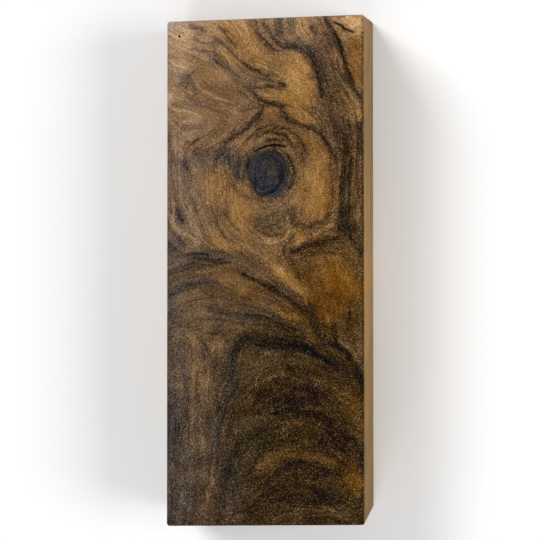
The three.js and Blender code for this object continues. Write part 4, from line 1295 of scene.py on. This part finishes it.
class Graph:
    """A material's nodes, made and joined by short calls."""

    def __init__(self, name):
        self.material = bpy.data.materials.new(name)
        self.material.use_nodes = True
        self.tree = self.material.node_tree
        self.shader = self.tree.nodes["Principled BSDF"]

    def put(self, value, socket):
        """Links an output to a socket, or sets a plain value on it."""
        if isinstance(value, bpy.types.NodeSocket):
            self.tree.links.new(value, socket)
        else:
            socket.default_value = value

    def node(self, kind, output=0, settings=None, **inputs):
        made = self.tree.nodes.new(kind)
        for name, value in (settings or {}).items():
            setattr(made, name, value)
        for name, value in inputs.items():
            self.put(value, made.inputs[name.replace("_", " ")])
        return made.outputs[output]

    def math(self, operation, a, b):
        made = self.tree.nodes.new("ShaderNodeMath")
        made.operation = operation
        self.put(a, made.inputs[0])
        self.put(b, made.inputs[1])
        return made.outputs[0]

    def times(self, a, b):
        return self.math("MULTIPLY", a, b)

    def plus(self, a, b):
        return self.math("ADD", a, b)

    def even(self, value):
        """Moves values from 0 to 1 down to lie round 0."""
        return self.math("SUBTRACT", value, 0.5)

    def mix(self, share, a, b, blend="MIX"):
        made = self.tree.nodes.new("ShaderNodeMix")
        made.data_type = "RGBA"
        made.blend_type = blend
        self.put(share, made.inputs["Factor"])
        self.put(a, made.inputs["A"])
        self.put(b, made.inputs["B"])
        return made.outputs["Result"]

    def attribute(self, name, output="Fac"):
        made = self.tree.nodes.new("ShaderNodeAttribute")
        made.attribute_name = name
        return made.outputs[output]

    def places(self, scale):
        """Where a point is in the block, in units of scale, which is given in millimetres each way."""
        made = self.tree.nodes.new("ShaderNodeMapping")
        made.inputs["Scale"].default_value = [1 / (MM * s) for s in scale]
        at = self.tree.nodes.new("ShaderNodeTexCoord")
        self.tree.links.new(at.outputs["Object"], made.inputs["Vector"])
        return made.outputs["Vector"]

    def noise(self, scale, detail):
        return self.node("ShaderNodeTexNoise", Vector=self.places(scale), Scale=1.0, Detail=detail)

    def cells(self, size, shift=0.0):
        """A random value from 0 to 1 in each grain of the given size in millimetres."""
        made = self.tree.nodes.new("ShaderNodeTexVoronoi")
        moved = self.tree.nodes.new("ShaderNodeVectorMath")
        self.tree.links.new(self.places((size, size, size)), moved.inputs[0])
        moved.inputs[1].default_value = (shift, shift, shift)
        self.tree.links.new(moved.outputs[0], made.inputs["Vector"])
        made.inputs["Scale"].default_value = 1.0
        split = self.tree.nodes.new("ShaderNodeSeparateColor")
        self.tree.links.new(made.outputs["Color"], split.inputs[0])
        return split.outputs[0]

    def sparse(self, value):
        """Spreads values from 0 to 1 over -1 to 1, with most of them near 0."""
        t = self.spread(value, 0.0, 1.0, -1.0, 1.0)
        return self.times(t, self.times(t, t))

    def lines(self, value, crowding):
        """A value from 0 to 1 that changes at random with the given one."""
        settings = {"noise_dimensions": "1D"}
        return self.node("ShaderNodeTexNoise", settings=settings, W=value, Scale=crowding, Detail=1.0)

    def spread(self, value, low, high, to_low, to_high):
        made = self.tree.nodes.new("ShaderNodeMapRange")
        for socket, number in zip(made.inputs[1:5], (low, high, to_low, to_high)):
            socket.default_value = number
        self.put(value, made.inputs["Value"])
        return made.outputs["Result"]


def walnut():
    """Resin-filled walnut with a satin face: a fine speckle on the face, and fibres on the sawn sides."""
    g = Graph("stabilized_walnut")
    sawn = g.attribute("sawn")
    figured = g.math("SUBTRACT", 1.0, sawn)
    fine = g.times(g.sparse(g.cells(SPECKLE_SIZE)), SPECKLE)
    coarse = g.times(g.even(g.noise((COARSE_SIZE,) * 3, 1.0)), COARSE_SPECKLE * 2)
    fleck = g.times(g.spread(g.cells(FLECK_SIZE, 7.0), FLECK_FROM, 1.0, 0.0, FLECK), g.attribute("stain"))
    speckle = g.plus(g.times(g.plus(fine, coarse), g.attribute("sandy")), fleck)
    wander = g.times(g.noise((RING_WANDER[0],) * 3, 1.0), RING_WANDER[1])
    rings = g.plus(g.attribute("rings"), wander)
    thin, broad = [g.times(g.even(g.lines(rings, crowding)), strength) for strength, crowding in LINES]
    lines = g.times(g.plus(thin, broad), g.attribute("lively"))
    fibre = g.times(g.even(g.noise(FIBRE_SIZE, 2.0)), FIBRE)
    relief = g.plus(g.times(figured, speckle), g.times(sawn, fibre))
    bright = g.node("ShaderNodeGamma", Color=g.attribute("figure", "Color"), Gamma=1 / DISPLAY_GAMMA)
    channels = []
    for warmth, tint in CHANNELS:
        part = g.math("SUBTRACT", 1.0, g.times(g.attribute("warm"), warmth))
        channels.append(g.plus(g.times(relief, part), g.times(lines, tint)))
    red, green, blue = channels
    grey = g.node("ShaderNodeCombineColor", Red=red, Green=green, Blue=blue)
    bright = g.mix(1.0, bright, grey, "ADD")
    bright = g.mix(1.0, bright, (DARKEST, DARKEST, DARKEST, 1), "LIGHTEN")
    colour = g.node("ShaderNodeGamma", Color=bright, Gamma=DISPLAY_GAMMA)
    # The checks' and the pin hole's walls take the near-black painted shade.
    colour = g.mix(g.attribute("check"), colour, CHECK_SHADE_COLOUR)
    g.put(colour, g.shader.inputs["Base Color"])
    worn = g.noise(WORN_SIZE, 3.0)
    rough = g.plus(g.spread(worn, 0.3, 0.7, *ROUGHNESS), g.times(sawn, SAWN_ROUGHER))
    g.put(rough, g.shader.inputs["Roughness"])
    g.shader.inputs["Specular IOR Level"].default_value = SPECULAR
    bump = g.node("ShaderNodeBump", Strength=0.2, Distance=0.00002, Height=relief)
    g.put(bump, g.shader.inputs["Normal"])
    return g.material


def plain(name, colour, roughness):
    g = Graph(name)
    g.shader.inputs["Base Color"].default_value = (*colour, 1)
    g.shader.inputs["Roughness"].default_value = roughness
    g.shader.inputs["Specular IOR Level"].default_value = 0.1
    return g.material


# The unfolded map of the block: the size of its square, the gap between its parts and the height of a row
# for a cut's walls, in millimetres.
MAP_SIDE = 170
MAP_GAP = 2
MAP_ROW = 12
UP_SHARE = 0.75  # how much a facet must face up or down to count as part of a broad face


def unfold(piece):
    """Lays the six faces side by side in one square map, and the cuts' walls in a corner of their own."""
    mesh = piece.data
    count = len(mesh.polygons)
    sides, corners = np.empty(count, int), np.empty(len(mesh.loops), int)
    mesh.polygons.foreach_get("loop_total", sides)
    mesh.loops.foreach_get("vertex_index", corners)
    face = np.repeat(np.arange(count), sides)
    centres = read(mesh.polygons, "center")[face] / MM
    x, y, z = (read(mesh.vertices, "co")[corners] / MM).T
    nx, ny, nz = read(mesh.polygons, "normal")[face].T
    half_x, half_y = FOOT_WIDTH / 2, LENGTH / 2 + HEAD_RUN_OUT
    cut_wall = cut_walls(centres, 0.001)
    broad = (np.abs(nz) > UP_SHARE) & ~cut_wall
    long_side = ~broad & ~cut_wall & (np.abs(nx) > np.abs(ny))
    first, second = MAP_GAP + half_x, 2 * MAP_GAP + 3 * half_x
    third = 3 * MAP_GAP + 4 * half_x
    top_row = 2 * MAP_GAP + 2 * half_y
    u = np.where(nz > 0, first + x, second + x)
    v = MAP_GAP + half_y + y
    u = np.where(long_side, third + np.where(nx > 0, 0, THICKNESS + MAP_GAP) + z, u)
    end = ~broad & ~cut_wall & ~long_side
    u = np.where(end, np.where(ny > 0, first, second) + x, u)
    v = np.where(end, top_row + z, v)
    wall_u = third + np.where(nx + 2 * ny > 0, 0, THICKNESS) + (x + half_x) * 0.5
    u = np.where(cut_wall, wall_u, u)
    at_knot = centres[:, 1] <= 50
    v = np.where(cut_wall, top_row + z - THICKNESS / 2 + MAP_ROW * at_knot, v)
    layer = mesh.uv_layers.new(name="OFBake")
    layer.uv.foreach_set("vector", np.ravel(np.c_[u, v] / MAP_SIDE).astype(np.float32))


SHARP_FROM_DEG = 55  # edges that turn by more than this aren't smoothed


def build_block():
    """The block's one piece, on the solid that it replaces."""
    shell = blank_shell()
    piece = mesh_object("walnut_block_surface", shell.points, shell.faces)
    cut(piece, check_cutter(**KNOT_CHECK))
    cut(piece, check_cutter(**CORNER_CHECK))
    cut(piece, pin_hole_cutter(**PIN_HOLE))
    piece.data.polygons.foreach_set("use_smooth", [True] * len(piece.data.polygons))
    piece.data.set_sharp_from_angle(angle=np.radians(SHARP_FROM_DEG))
    dress(piece)
    unfold(piece)
    piece.data.materials.clear()
    piece.data.materials.append(walnut())
    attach(piece, "root")
    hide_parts("walnut_block")


# The stage, in metres and watts.
FLOOR_RADIUS = 6
FLOOR_TONE = 0.94
LAMP_SIDE = 0.9
LAMPS = {
    "key": ((-1.0, 1.1, 1.4), 24),
    "right_fill": ((1.4, -0.1, 1.3), 17),
    "foot_fill": ((-0.2, -1.4, 1.3), 9),
}
SKY = [(0.0, 0.4), (0.3, 0.5), (0.85, 0.2)]  # height in the sky, from 0 to 1 overhead, and brightness


def area_light(name, place, power):
    """A square lamp that faces the block."""
    data = bpy.data.lights.new(name, "AREA")
    data.shape = "SQUARE"
    data.size = LAMP_SIDE
    data.energy = power
    lamp = bpy.data.objects.new(name, data)
    lamp.location = place
    away = Vector(place) - Vector((0, 0, THICKNESS * MM))
    lamp.rotation_euler = away.to_track_quat("Z", "Y").to_euler()
    bpy.context.collection.objects.link(lamp)


def studio():
    """A pale floor, a pale sky that is dimmer overhead, and soft lamps."""
    bpy.ops.mesh.primitive_circle_add(vertices=96, radius=FLOOR_RADIUS, fill_type="NGON")
    floor = bpy.context.object
    floor.name = "floor"
    floor.data.materials.append(plain("pale_floor", (FLOOR_TONE,) * 3, 0.9))
    world = bpy.data.worlds.new("pale_sky")
    bpy.context.scene.world = world
    world.use_nodes = True
    tree = world.node_tree
    tree.nodes.clear()
    at = tree.nodes.new("ShaderNodeTexCoord")
    split = tree.nodes.new("ShaderNodeSeparateXYZ")
    ramp = tree.nodes.new("ShaderNodeValToRGB")
    background = tree.nodes.new("ShaderNodeBackground")
    output = tree.nodes.new("ShaderNodeOutputWorld")
    tree.links.new(at.outputs["Generated"], split.inputs[0])
    tree.links.new(split.outputs["Z"], ramp.inputs["Fac"])
    tree.links.new(ramp.outputs["Color"], background.inputs["Color"])
    tree.links.new(background.outputs[0], output.inputs[0])
    ramp.color_ramp.interpolation = "EASE"
    stops = ramp.color_ramp.elements
    stops[0].position = SKY[0][0]
    stops[1].position = SKY[2][0]
    stops.new(SKY[1][0])
    for stop, (_, level) in zip(stops, SKY):
        stop.color = (level, level, level, 1)
    for name, (place, power) in LAMPS.items():
        area_light(name, place, power)


def camera():
    """The camera at the photo's viewing angle."""
    data = bpy.data.cameras.new("photo_camera")
    data.lens = LENS_MM
    data.sensor_width = SENSOR_MM
    data.clip_start = 0.01
    data.clip_end = 30
    made = bpy.data.objects.new("photo_camera", data)
    made.location = Vector(CAMERA_PLACE) * MM
    made.rotation_euler = np.radians(CAMERA_TURN_DEG)
    bpy.context.collection.objects.link(made)
    bpy.context.scene.camera = made


build_block()
studio()
camera()
bpy.context.scene.view_settings.view_transform = "Standard"
